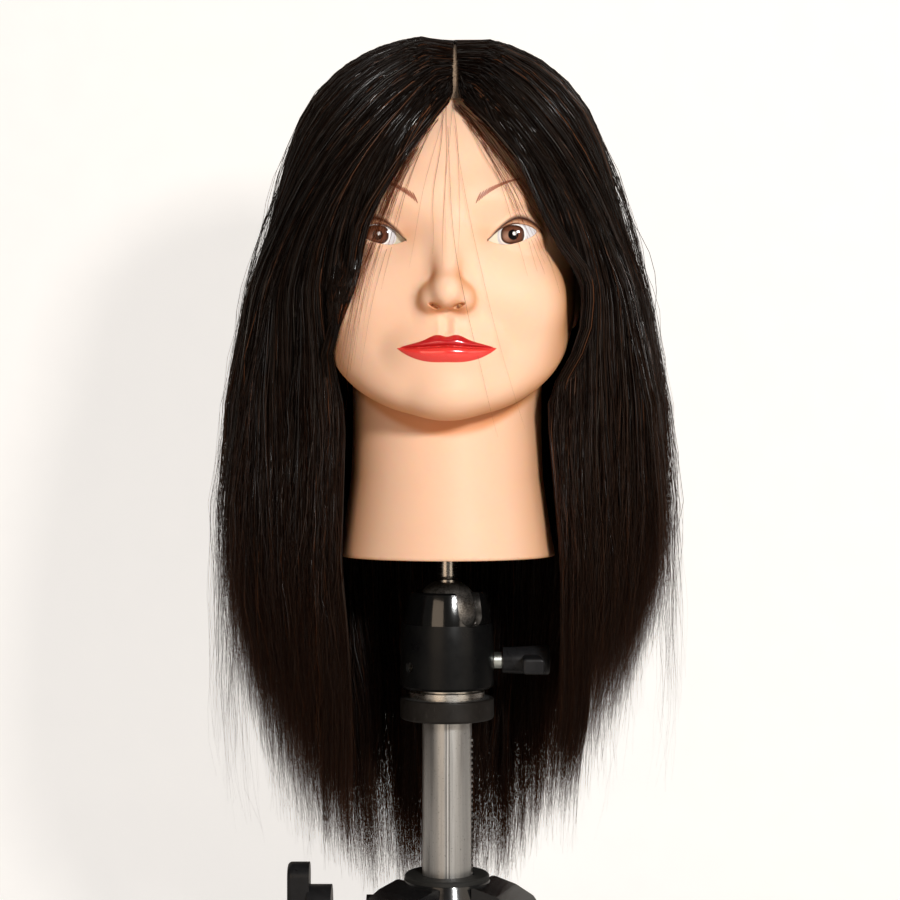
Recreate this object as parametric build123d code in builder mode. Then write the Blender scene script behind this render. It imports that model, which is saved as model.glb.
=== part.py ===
from build123d import *

import os
from math import acos, cos, pi, radians, sin, sqrt, tan

# Mannequin training head with long parted hair, held on a ball head above a geared column.
#
# The head is a moulded vinyl shell with a foam core, a rooted scalp cap and hair. A steel spigot goes up
# into its neck. Below that are a ball head with a panning base, a rack column, and the crown it slides in,
# whose three forks take the legs of a stand. Millimetres, +Z up, the face looks along -Y, and the origin
# is on the column's axis at the crown's underside.

# ---------------------------------------------------------------- clearances
SLIDE_GAP = 0.1  # radial, between parts that slide
RUN_GAP = 0.05  # radial, between parts that turn
SEAT_GAP = 0.02  # radial, between parts that are fitted and don't move

# ---------------------------------------------------------------- crown
CROWN_HEIGHT = 56.0
CROWN_BORE_R = 16.0
BARREL_FOOT_R, BARREL_R, BARREL_NECK_R, BARREL_TOP_R = 27.0, 29.0, 24.5, 23.4
BARREL_SHOULDER_Z, BARREL_NECK_Z = 41.0, 53.0
LEG_AZIMUTHS = (-50, 70, 190)  # degrees from the front, towards +X
LEG_PIVOT_R, LEG_PIVOT_Z = 42.5, 24.0
LEG_BORE_R = 3.1
FORK_WIDTH, FORK_GAP = 34.0, 24.0
FORK_ROOT_R, FORK_REACH_R = 20.0, 51.0
FORK_BOTTOM = 9.0
KNUCKLE_ROOM_R, KNUCKLE_ROOM_TOP = 34.5, 39.0  # the slot for a leg's knuckle starts here and is this high
UPPER_BUSH_BOTTOM, LOWER_BUSH_BOTTOM, LOWER_BUSH_TOP = 45.0, 0.5, 14.0
BUSH_RIM_R, BUSH_RIM = 23.1, 2.6
RACK_SLOT_X, RACK_SLOT_DEPTH = 12.0, 5.4

# ---------------------------------------------------------------- column and rack
COLUMN_R, COLUMN_WALL = 13.5, 2.1
COLUMN_BOTTOM, COLUMN_TOP = 4.0, 147.0
COLUMN_BORE_R = COLUMN_R - COLUMN_WALL
GROOVE_WIDTH, GROOVE_DEPTH = 2.8, 0.7
MODULE = 1.0
PINION_TEETH = 12
PRESSURE_ANGLE = radians(20)
PINION_Z = 36.0
RACK_ADDENDUM, RACK_DEPTH = 0.65, 1.8
PINION_ADDENDUM, PINION_DEDENDUM = 0.9, 0.95
BACKLASH = 0.2
RACK_TIP_X = 14.0
RACK_BACK_X = 8.6
RACK_WIDTH = 6.0
RACK_BOTTOM, RACK_TOP = 9.0, 134.0
PITCH_R = MODULE * PINION_TEETH / 2
TOOTH_PITCH = pi * MODULE
PINION_X = RACK_TIP_X - RACK_ADDENDUM + PITCH_R
PINION_WIDTH = 5.4

# ---------------------------------------------------------------- crank
SHAFT_R = 2.5
GEAR_BOSS_R = 10.0
GEAR_BOSS_BACK, GEAR_BOSS_FRONT = 16.0, -29.5
GEAR_POCKET_R, GEAR_POCKET_WIDTH = 7.8, 10.0
SHAFT_BUSH_R = 4.5
CRANK_LENGTH = 26.0
CRANK_HUB, CRANK_HUB_R = 11.0, 7.6
CRANK_ARM, CRANK_ARM_WIDTH = 5.0, 9.6
SHAFT_SOCKET = 9.05  # how deep the shaft sits in the crank's hub
CRANK_SCREW_R, CRANK_SCREW_HEAD_R = 1.6, 3.4
KNOB_PIN_R, KNOB_LENGTH = 2.0, 18.0

# ---------------------------------------------------------------- column lock
LOCK_Z = 38.0
LOCK_SCREW_R, LOCK_NUT_R = 3.0, 6.0
LOCK_BOSS_R, LOCK_BOSS_END = 9.0, -44.0
LOCK_NUT_X, LOCK_NUT_LENGTH = -34.0, 10.0
LOCK_PAD_R = 4.5
LOCK_KNOB_NECK, LOCK_KNOB_DISC, LOCK_KNOB_WING = -50.0, -63.0, -87.0
WING_LENGTH, WING_WIDTH = 54.0, 16.0

# ---------------------------------------------------------------- platform and panning base
PLATFORM_R, PLATFORM_BOTTOM, PLATFORM_TOP = 25.6, 143.5, 155.0
PAD_R, PAD_RECESS = 23.3, 0.9
BOLT_R, BOLT_TOP, BOLT_HEAD_BOTTOM, BOLT_HEAD = 4.75, 164.0, 131.0, 7.0
BOLT_HOLE_R = BOLT_R + SLIDE_GAP
BASE_FLANGE_R, BASE_FLANGE_TOP = 20.5, 159.0
BASE_BOSS_R, BASE_BOSS_TOP = 18.9, 167.0
CIRCLIP_Z, CIRCLIP_THICKNESS = 164.6, 1.4

# ---------------------------------------------------------------- ball head
BALL_R, BALL_Z = 17.5, 202.0
BALL_FLAT = 16.0  # the ball's flat top, above its centre
CUP_THICKNESS = 2.2
CUP_HALF_ANGLE = radians(42)
HOUSING_R, HOUSING_BOTTOM, HOUSING_TOP = 25.6, 160.5, 213.0
HOUSING_TOP_R, HOUSING_BAND_Z, HOUSING_BAND_R = 21.4, 195.5, 24.6
HOUSING_BORE_R = 19.0
NOTCH_AZIMUTH, NOTCH_WIDTH = 34, 15.0
BALL_LOCK_Z, BALL_LOCK_R = 175.2, 3.5
COLLAR_R, COLLAR_LENGTH = 4.5, 4.4
LEVER_START, LEVER_END = 30.4, 56.0
LEVER_ARM_X, LEVER_ARM_REACH = 46.0, 32.0
GRUB_AZIMUTH, GRUB_Z, GRUB_R = -53, 172.8, 3.0
PIN_R, PIN_TOP = 5.5, 298.0
PIN_SHANK_R, PIN_FLANGE_R = 4.0, 5.9

# ---------------------------------------------------------------- head, in (centre, semi-axes)
SKIN = 3.0
CRANIUM = ((0, 8, 412), (72, 94, 98))
LOWER_FACE = ((0, -14, 376), (67.5, 74, 66))
CHIN = ((0, -50, 334), (46, 37, 30))
NECK_BOTTOM = 232.5
# height, half width, half depth and y of each neck section
NECK = (
    (NECK_BOTTOM, 59, 61, 0), (250, 56, 58.5, 0), (275, 52.4, 55, 1), (300, 51.7, 54, 3), (350, 52, 55, 6),
)
FEATURES = (
    ((0, -90, 386), (8.5, 13, 25)),  # bridge of the nose
    ((0, -98, 371.5), (9.5, 10, 8.5)),  # tip of the nose
    ((0, -92, 367), (15, 8, 6)),  # wings of the nose
    ((0, -87, 348), (24, 6.5, 4.2)),  # upper lip
    ((0, -86, 341.5), (21, 7, 4.8)),  # lower lip
)
EAR = ((69, 12, 386), (6, 15, 29))
EYE_X, EYE_Y, EYE_Z, EYE_R = 34.0, -64.0, 400.0, 13.0
EYE_CUT = 3.0  # each eye is the front of a ball, cut this far before the ball's centre
PLUG_X, PLUG_Y, PLUG_THICKNESS = 54.8, 57.0, 4.8
PLUG_SCREW_RING, PLUG_SCREW_ANGLES = 38.0, (30, 150, 270)
PLUG_SCREW_R, PLUG_SCREW_HEAD_R = 1.55, 2.9
SOCKET_R, SOCKET_LENGTH, SOCKET_DEPTH = 9.0, 64.0, 61.0

# ---------------------------------------------------------------- scalp and hair
CAP_GAP, CAP_THICKNESS = 0.1, 1.4
HAIRLINE = Plane(origin=(0, -70, 470), x_dir=(1, 0, 0), z_dir=(0, 0.62, 0.785))
EAR_ROOM = 7.0
# the hair's outline seen from the front, as (half width, height) from the top down
HAIR_OUTLINE = (
    (0, 500), (60, 478), (79, 452), (93, 427), (110, 372), (121, 317), (127, 262), (126, 212),
    (114, 162), (92, 110), (74, 70),
)
HAIR_OVER_CRANIUM = 5.5
HAIR_DEPTH, HAIR_Y = 0.87, 8  # its depth against its width, and where its middle is
HAIR_INNER_R = 60
HAIR_GAP = 2.2  # between the head and the hair
PARTING_X = 4
# the opening that the face and neck look out of, as (x, z)
FACE_OPENING = (
    (PARTING_X, 470), (37, 424), (50, 402), (66, 380), (69, 340), (61, 300), (61, 50),
    (-61, 50), (-58, 300), (-60, 332), (-56, 368), (-36, 404), (-24, 422),
)
HAIR_BACK_Y = 32  # the side falls end and the back fall starts here
HAIR_REACH, HAIR_TOP = 150, 530

os.makedirs("parts", exist_ok=True)


def save(block, label):
    """Labels a finished sub-part and writes its STEP file."""
    block.part.label = label
    export_step(block.part, f"parts/{label}.step")


def radial_plane(azimuth, z=0.0):
    """A plane on the axis at height z, facing outwards at an azimuth; its own y is up."""
    out = (sin(radians(azimuth)), -cos(radians(azimuth)), 0)
    across = (cos(radians(azimuth)), sin(radians(azimuth)), 0)
    return Plane(origin=(0, 0, z), x_dir=across, z_dir=out)


def leg_plane(azimuth):
    """A vertical plane through the axis along an azimuth; its x is outwards and its y is up."""
    out = (sin(radians(azimuth)), -cos(radians(azimuth)), 0)
    return Plane(origin=(0, 0, 0), x_dir=out, z_dir=Vector(out).cross(Vector(0, 0, 1)))


# ---------------------------------------------------------------- the crown and its bearings
def make_fork():
    """One leg fork, along the front azimuth 0, as a block with a slot for the leg's knuckle."""
    with BuildPart() as fork:
        with BuildSketch(leg_plane(0)):
            with BuildLine():
                Polyline(
                    (FORK_ROOT_R, FORK_BOTTOM), (FORK_REACH_R - 7, FORK_BOTTOM),
                    (FORK_REACH_R, FORK_BOTTOM + 7), (FORK_REACH_R, 37), (FORK_REACH_R - 7, 46.5),
                    (34, 52), (FORK_ROOT_R + 2, 55.5), (FORK_ROOT_R, 55.5), close=True,
                )
            make_face()
        extrude(amount=FORK_WIDTH / 2, both=True)
        fillet(fork.edges().filter_by(Axis.X).group_by(Axis.Y)[0], 3)
        with BuildSketch(leg_plane(0)):
            with Locations((KNUCKLE_ROOM_R, 0)):
                Rectangle(FORK_REACH_R, KNUCKLE_ROOM_TOP, align=(Align.MIN, Align.MIN))
        extrude(amount=FORK_GAP / 2, both=True, mode=Mode.SUBTRACT)
    return fork.part


def make_crown():
    """The cast crown: barrel, three forks, a boss for the column lock and a housing for the pinion."""
    fork = make_fork()
    with BuildPart() as crown:
        with BuildSketch(Plane.XZ):
            with BuildLine():
                Polyline(
                    (CROWN_BORE_R - 1, 0), (BARREL_FOOT_R, 0), (BARREL_R, 3), (BARREL_R, BARREL_SHOULDER_Z),
                    (BARREL_NECK_R, BARREL_NECK_Z), (BARREL_TOP_R, CROWN_HEIGHT),
                    (CROWN_BORE_R - 1, CROWN_HEIGHT), close=True,
                )
            make_face()
        revolve(axis=Axis.Z)
        for azimuth in LEG_AZIMUTHS:
            add(fork.rotate(Axis.Z, azimuth))
        with BuildSketch(Plane.YZ.offset(LOCK_BOSS_END)):
            with Locations((0, LOCK_Z)):
                Circle(LOCK_BOSS_R)
        extrude(amount=-LOCK_BOSS_END - CROWN_BORE_R - 4)
        with BuildSketch(Plane.XZ.offset(-GEAR_BOSS_BACK)):
            with Locations((PINION_X, PINION_Z)):
                Circle(GEAR_BOSS_R)
        extrude(amount=GEAR_BOSS_BACK - GEAR_BOSS_FRONT)
        with BuildSketch(Plane.XY):
            Circle(CROWN_BORE_R)
        extrude(amount=CROWN_HEIGHT, mode=Mode.SUBTRACT)
        # the gear's pocket, and the bores for its two shaft bushes
        with BuildSketch(Plane.XZ):
            with Locations((PINION_X, PINION_Z)):
                Circle(GEAR_POCKET_R)
            with Locations((RACK_TIP_X, PINION_Z)):
                Rectangle(10, 2 * GEAR_POCKET_R)
        extrude(amount=GEAR_POCKET_WIDTH / 2, both=True, mode=Mode.SUBTRACT)
        with BuildSketch(Plane.XZ.offset(-GEAR_BOSS_BACK - 1)):
            with Locations((PINION_X, PINION_Z)):
                Circle(SHAFT_BUSH_R)
        extrude(amount=GEAR_BOSS_BACK - GEAR_BOSS_FRONT + 2, mode=Mode.SUBTRACT)
        # the column lock: pad bore, nut pocket and screw way, from the inside out
        with BuildSketch(Plane.YZ.offset(-22)):
            with Locations((0, LOCK_Z)):
                Circle(LOCK_PAD_R + SLIDE_GAP)
        extrude(amount=12, mode=Mode.SUBTRACT)
        with BuildSketch(Plane.YZ.offset(LOCK_BOSS_END - 2)):
            with Locations((0, LOCK_Z)):
                Circle(LOCK_SCREW_R + 0.3)
        extrude(amount=30, mode=Mode.SUBTRACT)
        with BuildSketch(Plane.YZ.offset(LOCK_NUT_X)):
            with Locations((0, LOCK_Z)):
                Circle(LOCK_NUT_R + RUN_GAP)
        extrude(amount=LOCK_NUT_LENGTH, mode=Mode.SUBTRACT)
        for azimuth in LEG_AZIMUTHS:
            with BuildSketch(leg_plane(azimuth)):
                with Locations((LEG_PIVOT_R, LEG_PIVOT_Z)):
                    Circle(LEG_BORE_R)
            extrude(amount=FORK_WIDTH, both=True, mode=Mode.SUBTRACT)
    return crown


def make_column_bush(bottom, top, rim=False):
    """A plastic guide bush with a slot that the rack's teeth pass through, and a rim on top if asked."""
    with BuildPart() as bush:
        with BuildSketch(Plane.XY.offset(bottom)):
            Circle(CROWN_BORE_R - SLIDE_GAP)
        extrude(amount=top - bottom)
        if rim:
            with BuildSketch(Plane.XY.offset(top)):
                Circle(BUSH_RIM_R)
            extrude(amount=BUSH_RIM)
            chamfer(bush.edges().group_by(Axis.Z)[-1], 0.8)
        with BuildSketch(Plane.XY.offset(bottom)):
            Circle(COLUMN_R + SLIDE_GAP)
            with Locations((RACK_SLOT_X, 0)):
                Rectangle(RACK_SLOT_DEPTH, RACK_WIDTH + 1.2)
        extrude(amount=top - bottom + BUSH_RIM + 1, mode=Mode.SUBTRACT)
    return bush


save(make_crown(), "crown_body")
save(make_column_bush(UPPER_BUSH_BOTTOM, CROWN_HEIGHT + RUN_GAP, rim=True), "upper_column_bush")
save(make_column_bush(LOWER_BUSH_BOTTOM, LOWER_BUSH_TOP), "lower_column_bush")

with BuildPart() as shaft_bushes:
    bush_end = GEAR_POCKET_WIDTH / 2 + 0.2
    for near, far in ((GEAR_BOSS_FRONT + 0.1, -bush_end), (bush_end, GEAR_BOSS_BACK - 0.1)):
        with BuildSketch(Plane.XZ.offset(-far)):
            with Locations((PINION_X, PINION_Z)):
                Circle(SHAFT_BUSH_R - RUN_GAP)
                Circle(SHAFT_R + RUN_GAP, mode=Mode.SUBTRACT)
        extrude(amount=far - near)
save(shaft_bushes, "shaft_bushes")

# ---------------------------------------------------------------- the column lock
with BuildPart() as lock_nut:
    with BuildSketch(Plane.YZ.offset(LOCK_NUT_X + 0.1)):
        with Locations((0, LOCK_Z)):
            RegularPolygon(LOCK_NUT_R, 6)
            Circle(LOCK_SCREW_R + RUN_GAP, mode=Mode.SUBTRACT)
    extrude(amount=LOCK_NUT_LENGTH - 0.2)
save(lock_nut, "lock_nut")

with BuildPart() as lock_pad:
    with BuildSketch(Plane.YZ.offset(-17.5)):
        with Locations((0, LOCK_Z)):
            Circle(LOCK_PAD_R)
    extrude(amount=8)
    with BuildSketch(Plane.XY.offset(LOCK_Z - 10)):
        Circle(COLUMN_R + SLIDE_GAP)
    extrude(amount=20, mode=Mode.SUBTRACT)
save(lock_pad, "column_lock_pad")

with BuildPart() as lock_screw:
    with BuildSketch(Plane.YZ.offset(LOCK_KNOB_DISC - 7)):
        with Locations((0, LOCK_Z)):
            Circle(LOCK_SCREW_R)
    extrude(amount=52.3)
    chamfer(lock_screw.edges().group_by(Axis.X)[-1], 0.6)
save(lock_screw, "column_lock_screw")

with BuildPart() as lock_knob:
    with BuildSketch(Plane.YZ.offset(LOCK_KNOB_DISC)):
        with Locations((0, LOCK_Z)):
            Circle(5.2)
    extrude(amount=LOCK_KNOB_NECK - LOCK_KNOB_DISC)
    with BuildSketch(Plane.YZ.offset(LOCK_KNOB_DISC)):
        with Locations((0, LOCK_Z)):
            Circle(14.6)
    extrude(amount=-13)
    with BuildSketch(Plane.YZ.offset(LOCK_KNOB_WING)):
        with Locations((0, LOCK_Z)):
            SlotOverall(WING_LENGTH, WING_WIDTH, rotation=90)
    extrude(amount=12)
    fillet(lock_knob.edges().group_by(Axis.X)[0], 2.5)
    with BuildSketch(Plane.YZ.offset(LOCK_KNOB_NECK + 1)):
        with Locations((0, LOCK_Z)):
            Circle(LOCK_SCREW_R + RUN_GAP)
    extrude(amount=LOCK_KNOB_DISC - LOCK_KNOB_NECK - 8.1, mode=Mode.SUBTRACT)
save(lock_knob, "column_lock_knob")


# ---------------------------------------------------------------- the column and its rack
def rack_outline():
    """The rack's side outline in (x, z): straight back, and teeth with a gap centred on the pinion."""
    root_x = RACK_TIP_X - RACK_DEPTH
    pitch_x = RACK_TIP_X - RACK_ADDENDUM
    half = (TOOTH_PITCH - BACKLASH) / 4
    tip_half = half - RACK_ADDENDUM * tan(PRESSURE_ANGLE)
    root_half = half + (pitch_x - root_x) * tan(PRESSURE_ANGLE)
    points = [(RACK_BACK_X, RACK_BOTTOM), (root_x, RACK_BOTTOM)]
    first = int((RACK_BOTTOM - PINION_Z) / TOOTH_PITCH)
    last = int((RACK_TOP - PINION_Z) / TOOTH_PITCH)
    for n in range(first, last):
        middle = PINION_Z + (n + 0.5) * TOOTH_PITCH
        points += [
            (root_x, middle - root_half),
            (RACK_TIP_X, middle - tip_half),
            (RACK_TIP_X, middle + tip_half),
            (root_x, middle + root_half),
        ]
    return points + [(root_x, RACK_TOP), (RACK_BACK_X, RACK_TOP)]


with BuildPart() as rack:
    with BuildSketch(Plane.XZ):
        with BuildLine():
            Polyline(*rack_outline(), close=True)
        make_face()
    extrude(amount=RACK_WIDTH / 2, both=True)
save(rack, "rack_strip")

with BuildPart() as column:
    with BuildSketch(Plane.XY.offset(COLUMN_BOTTOM)):
        Circle(COLUMN_R)
        Circle(COLUMN_R - COLUMN_WALL, mode=Mode.SUBTRACT)
        with Locations((0, -COLUMN_R)):
            Rectangle(GROOVE_WIDTH, 2 * GROOVE_DEPTH, mode=Mode.SUBTRACT)
    extrude(amount=COLUMN_TOP - COLUMN_BOTTOM)
    with BuildSketch(Plane.XY.offset(RACK_BOTTOM - 0.1)):
        with Locations((RACK_SLOT_X, 0)):
            Rectangle(6, RACK_WIDTH + 0.1)
    extrude(amount=RACK_TOP - RACK_BOTTOM + 0.2, mode=Mode.SUBTRACT)
save(column, "column_tube")

with BuildPart() as end_cap:
    with BuildSketch(Plane.XY.offset(1)):
        Circle(COLUMN_R - 0.2)
    extrude(amount=COLUMN_BOTTOM - 1)
    with BuildSketch(Plane.XY.offset(COLUMN_BOTTOM)):
        Circle(COLUMN_BORE_R - RUN_GAP)
        Circle(8, mode=Mode.SUBTRACT)
    extrude(amount=4.5)
    chamfer(end_cap.edges().group_by(Axis.Z)[0], 0.8)
save(end_cap, "column_end_cap")

with BuildPart() as column_plug:
    with BuildSketch(Plane.XY.offset(BOLT_HEAD_BOTTOM + BOLT_HEAD + 0.1)):
        Circle(COLUMN_BORE_R - RUN_GAP)
        Circle(BOLT_HOLE_R, mode=Mode.SUBTRACT)
    extrude(amount=COLUMN_TOP - BOLT_HEAD_BOTTOM - BOLT_HEAD - 0.1)
save(column_plug, "column_top_plug")

with BuildPart() as platform:
    with BuildSketch(Plane.XY.offset(PLATFORM_BOTTOM)):
        Circle(PLATFORM_R)
    extrude(amount=PLATFORM_TOP - PLATFORM_BOTTOM)
    fillet(platform.edges().group_by(Axis.Z)[0], 1.6)
    fillet(platform.edges().group_by(Axis.Z)[-1], 1.0)
    with BuildSketch(Plane.XY.offset(PLATFORM_BOTTOM)):
        Circle(COLUMN_R + RUN_GAP)
    extrude(amount=COLUMN_TOP - PLATFORM_BOTTOM + RUN_GAP, mode=Mode.SUBTRACT)
    with BuildSketch(Plane.XY.offset(PLATFORM_BOTTOM)):
        Circle(BOLT_HOLE_R)
    extrude(amount=PLATFORM_TOP - PLATFORM_BOTTOM, mode=Mode.SUBTRACT)
    with BuildSketch(Plane.XY.offset(PLATFORM_TOP - PAD_RECESS)):
        Circle(PAD_R + SLIDE_GAP)
    extrude(amount=PAD_RECESS, mode=Mode.SUBTRACT)
save(platform, "platform_ring")

with BuildPart() as rubber_pad:
    with BuildSketch(Plane.XY.offset(PLATFORM_TOP - PAD_RECESS)):
        Circle(PAD_R)
        Circle(BOLT_HOLE_R, mode=Mode.SUBTRACT)
    extrude(amount=PAD_RECESS - RUN_GAP)
save(rubber_pad, "platform_pad")

with BuildPart() as mount_bolt:
    with BuildSketch(Plane.XY.offset(BOLT_HEAD_BOTTOM)):
        RegularPolygon(7.5, 6)
    extrude(amount=BOLT_HEAD)
    with BuildSketch(Plane.XY.offset(BOLT_HEAD_BOTTOM + BOLT_HEAD)):
        Circle(BOLT_R)
    extrude(amount=BOLT_TOP - BOLT_HEAD_BOTTOM - BOLT_HEAD)
    chamfer(mount_bolt.edges().group_by(Axis.Z)[-1], 0.8)
save(mount_bolt, "mount_bolt")

# ---------------------------------------------------------------- the crank and its pinion


def involute(radius, base):
    """The polar angle of an involute from a base circle, where it crosses a radius."""
    a = acos(min(1.0, base / radius))
    return tan(a) - a


def pinion_outline():
    """The pinion's outline about its own centre, with one tooth centred on the side facing the rack."""
    base = PITCH_R * cos(PRESSURE_ANGLE)
    tip, root = PITCH_R + PINION_ADDENDUM, PITCH_R - PINION_DEDENDUM
    half = (TOOTH_PITCH - BACKLASH) / 4 / PITCH_R + involute(PITCH_R, base)
    flank = [base + (tip - base) * n / 5 for n in range(6)]
    points = []
    for n in range(PINION_TEETH):
        middle = pi + 2 * pi * n / PINION_TEETH
        rising = [(root, -half)] + [(r, -half + involute(r, base)) for r in flank]
        falling = [(r, -a) for r, a in reversed(rising)]
        points += [(r * cos(middle + a), r * sin(middle + a)) for r, a in rising + falling]
    return points


with BuildPart() as pinion:
    with BuildSketch(Plane((PINION_X, PINION_WIDTH / 2, PINION_Z), x_dir=(1, 0, 0), z_dir=(0, -1, 0))):
        with BuildLine():
            Polyline(*pinion_outline(), close=True)
        make_face()
        Circle(SHAFT_R + SEAT_GAP, mode=Mode.SUBTRACT)
    extrude(amount=PINION_WIDTH)
save(pinion, "pinion_gear")

CRANK_BACK = GEAR_BOSS_FRONT - 0.5
CRANK_FRONT = CRANK_BACK - CRANK_HUB
CRANK_PLANE = Plane((PINION_X, CRANK_BACK, PINION_Z), x_dir=(1, 0, 0), z_dir=(0, -1, 0))
SHAFT_BACK = GEAR_BOSS_BACK - 1
with BuildPart() as pinion_shaft:
    with BuildSketch(Plane((PINION_X, SHAFT_BACK, PINION_Z), x_dir=(1, 0, 0), z_dir=(0, -1, 0))):
        Circle(SHAFT_R)
    extrude(amount=SHAFT_BACK - CRANK_BACK + SHAFT_SOCKET - 0.15)
    chamfer(pinion_shaft.edges().group_by(Axis.Y)[-1], 0.4)
save(pinion_shaft, "pinion_shaft")

with BuildPart() as crank_arm:
    with BuildSketch(CRANK_PLANE):
        Circle(CRANK_HUB_R)
    extrude(amount=CRANK_HUB)
    with BuildSketch(CRANK_PLANE.offset(CRANK_HUB - CRANK_ARM)):
        with Locations((CRANK_LENGTH / 2, 0)):
            SlotCenterToCenter(CRANK_LENGTH, CRANK_ARM_WIDTH)
    extrude(amount=CRANK_ARM)
    fillet(crank_arm.edges().group_by(Axis.Y)[0], 1.2)
    with BuildSketch(CRANK_PLANE):
        Circle(SHAFT_R + SEAT_GAP)
    extrude(amount=SHAFT_SOCKET, mode=Mode.SUBTRACT)
    with BuildSketch(CRANK_PLANE):
        Circle(CRANK_SCREW_R + RUN_GAP)
        with Locations((CRANK_LENGTH, 0)):
            Circle(KNOB_PIN_R + RUN_GAP)
    extrude(amount=CRANK_HUB, mode=Mode.SUBTRACT)
save(crank_arm, "crank_arm")

with BuildPart() as crank_screw:
    with BuildSketch(CRANK_PLANE.offset(CRANK_HUB + 0.05)):
        Circle(CRANK_SCREW_HEAD_R)
    extrude(amount=1.8)
    fillet(crank_screw.edges().group_by(Axis.Y)[0], 0.8)
    with BuildSketch(CRANK_PLANE.offset(CRANK_HUB + 1.2)):
        Rectangle(3.6, 0.7)
        Rectangle(0.7, 3.6)
    extrude(amount=0.65, mode=Mode.SUBTRACT)
    with BuildSketch(CRANK_PLANE.offset(CRANK_HUB - 1.9)):
        Circle(CRANK_SCREW_R)
    extrude(amount=1.95)
save(crank_screw, "crank_screw")

with BuildPart() as knob_pin:
    with BuildSketch(CRANK_PLANE.offset(CRANK_HUB - CRANK_ARM - 1.6)):
        with Locations((CRANK_LENGTH, 0)):
            Circle(3.4)
    extrude(amount=1.5)
    with BuildSketch(CRANK_PLANE.offset(CRANK_HUB - CRANK_ARM - 0.1)):
        with Locations((CRANK_LENGTH, 0)):
            Circle(KNOB_PIN_R)
    extrude(amount=22)
save(knob_pin, "crank_knob_pin")

with BuildPart() as crank_knob:
    knob_x = PINION_X + CRANK_LENGTH
    knob_back = CRANK_FRONT - 0.2
    with BuildSketch(Plane.XY.offset(PINION_Z)):
        with BuildLine():
            Polyline((knob_x, knob_back - KNOB_LENGTH), (knob_x, knob_back), (knob_x + 5.0, knob_back))
            Spline(
                (knob_x + 5.0, knob_back), (knob_x + 6.4, knob_back - 10),
                (knob_x + 4.6, knob_back - KNOB_LENGTH + 1.4), (knob_x, knob_back - KNOB_LENGTH),
            )
        make_face()
    revolve(axis=Axis((knob_x, 0, PINION_Z), (0, 1, 0)))
    with BuildSketch(CRANK_PLANE.offset(CRANK_HUB)):
        with Locations((CRANK_LENGTH, 0)):
            Circle(KNOB_PIN_R + RUN_GAP + 0.01)
    extrude(amount=KNOB_LENGTH - 0.9, mode=Mode.SUBTRACT)
save(crank_knob, "crank_knob")

# ---------------------------------------------------------------- the ball head
with BuildPart() as base_plate:
    with BuildSketch(Plane.XY.offset(PLATFORM_TOP)):
        Circle(BASE_FLANGE_R)
    extrude(amount=BASE_FLANGE_TOP - PLATFORM_TOP)
    chamfer(base_plate.edges().group_by(Axis.Z)[-1], 0.5)
    with BuildSketch(Plane.XY.offset(BASE_FLANGE_TOP - 0.5)):
        Circle(BASE_BOSS_R)
    extrude(amount=BASE_BOSS_TOP - BASE_FLANGE_TOP + 0.5)
    with BuildSketch(Plane.XY.offset(CIRCLIP_Z - CIRCLIP_THICKNESS / 2 - 0.1)):
        Circle(BASE_BOSS_R)
        Circle(BASE_BOSS_R - 1, mode=Mode.SUBTRACT)
    extrude(amount=CIRCLIP_THICKNESS + 0.2, mode=Mode.SUBTRACT)
    with BuildSketch(Plane.XY.offset(PLATFORM_TOP)):
        Circle(BOLT_R + RUN_GAP)
    extrude(amount=BOLT_TOP - PLATFORM_TOP + 0.5, mode=Mode.SUBTRACT)
save(base_plate, "pan_base_plate")

with BuildPart() as circlip:
    with BuildSketch(Plane.XY.offset(CIRCLIP_Z - CIRCLIP_THICKNESS / 2)):
        Circle(HOUSING_BORE_R + 1)
        Circle(BASE_BOSS_R - 0.9, mode=Mode.SUBTRACT)
        with Locations((0, HOUSING_BORE_R)):
            Rectangle(8, 6, mode=Mode.SUBTRACT)
    extrude(amount=CIRCLIP_THICKNESS)
save(circlip, "pan_circlip")


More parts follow.
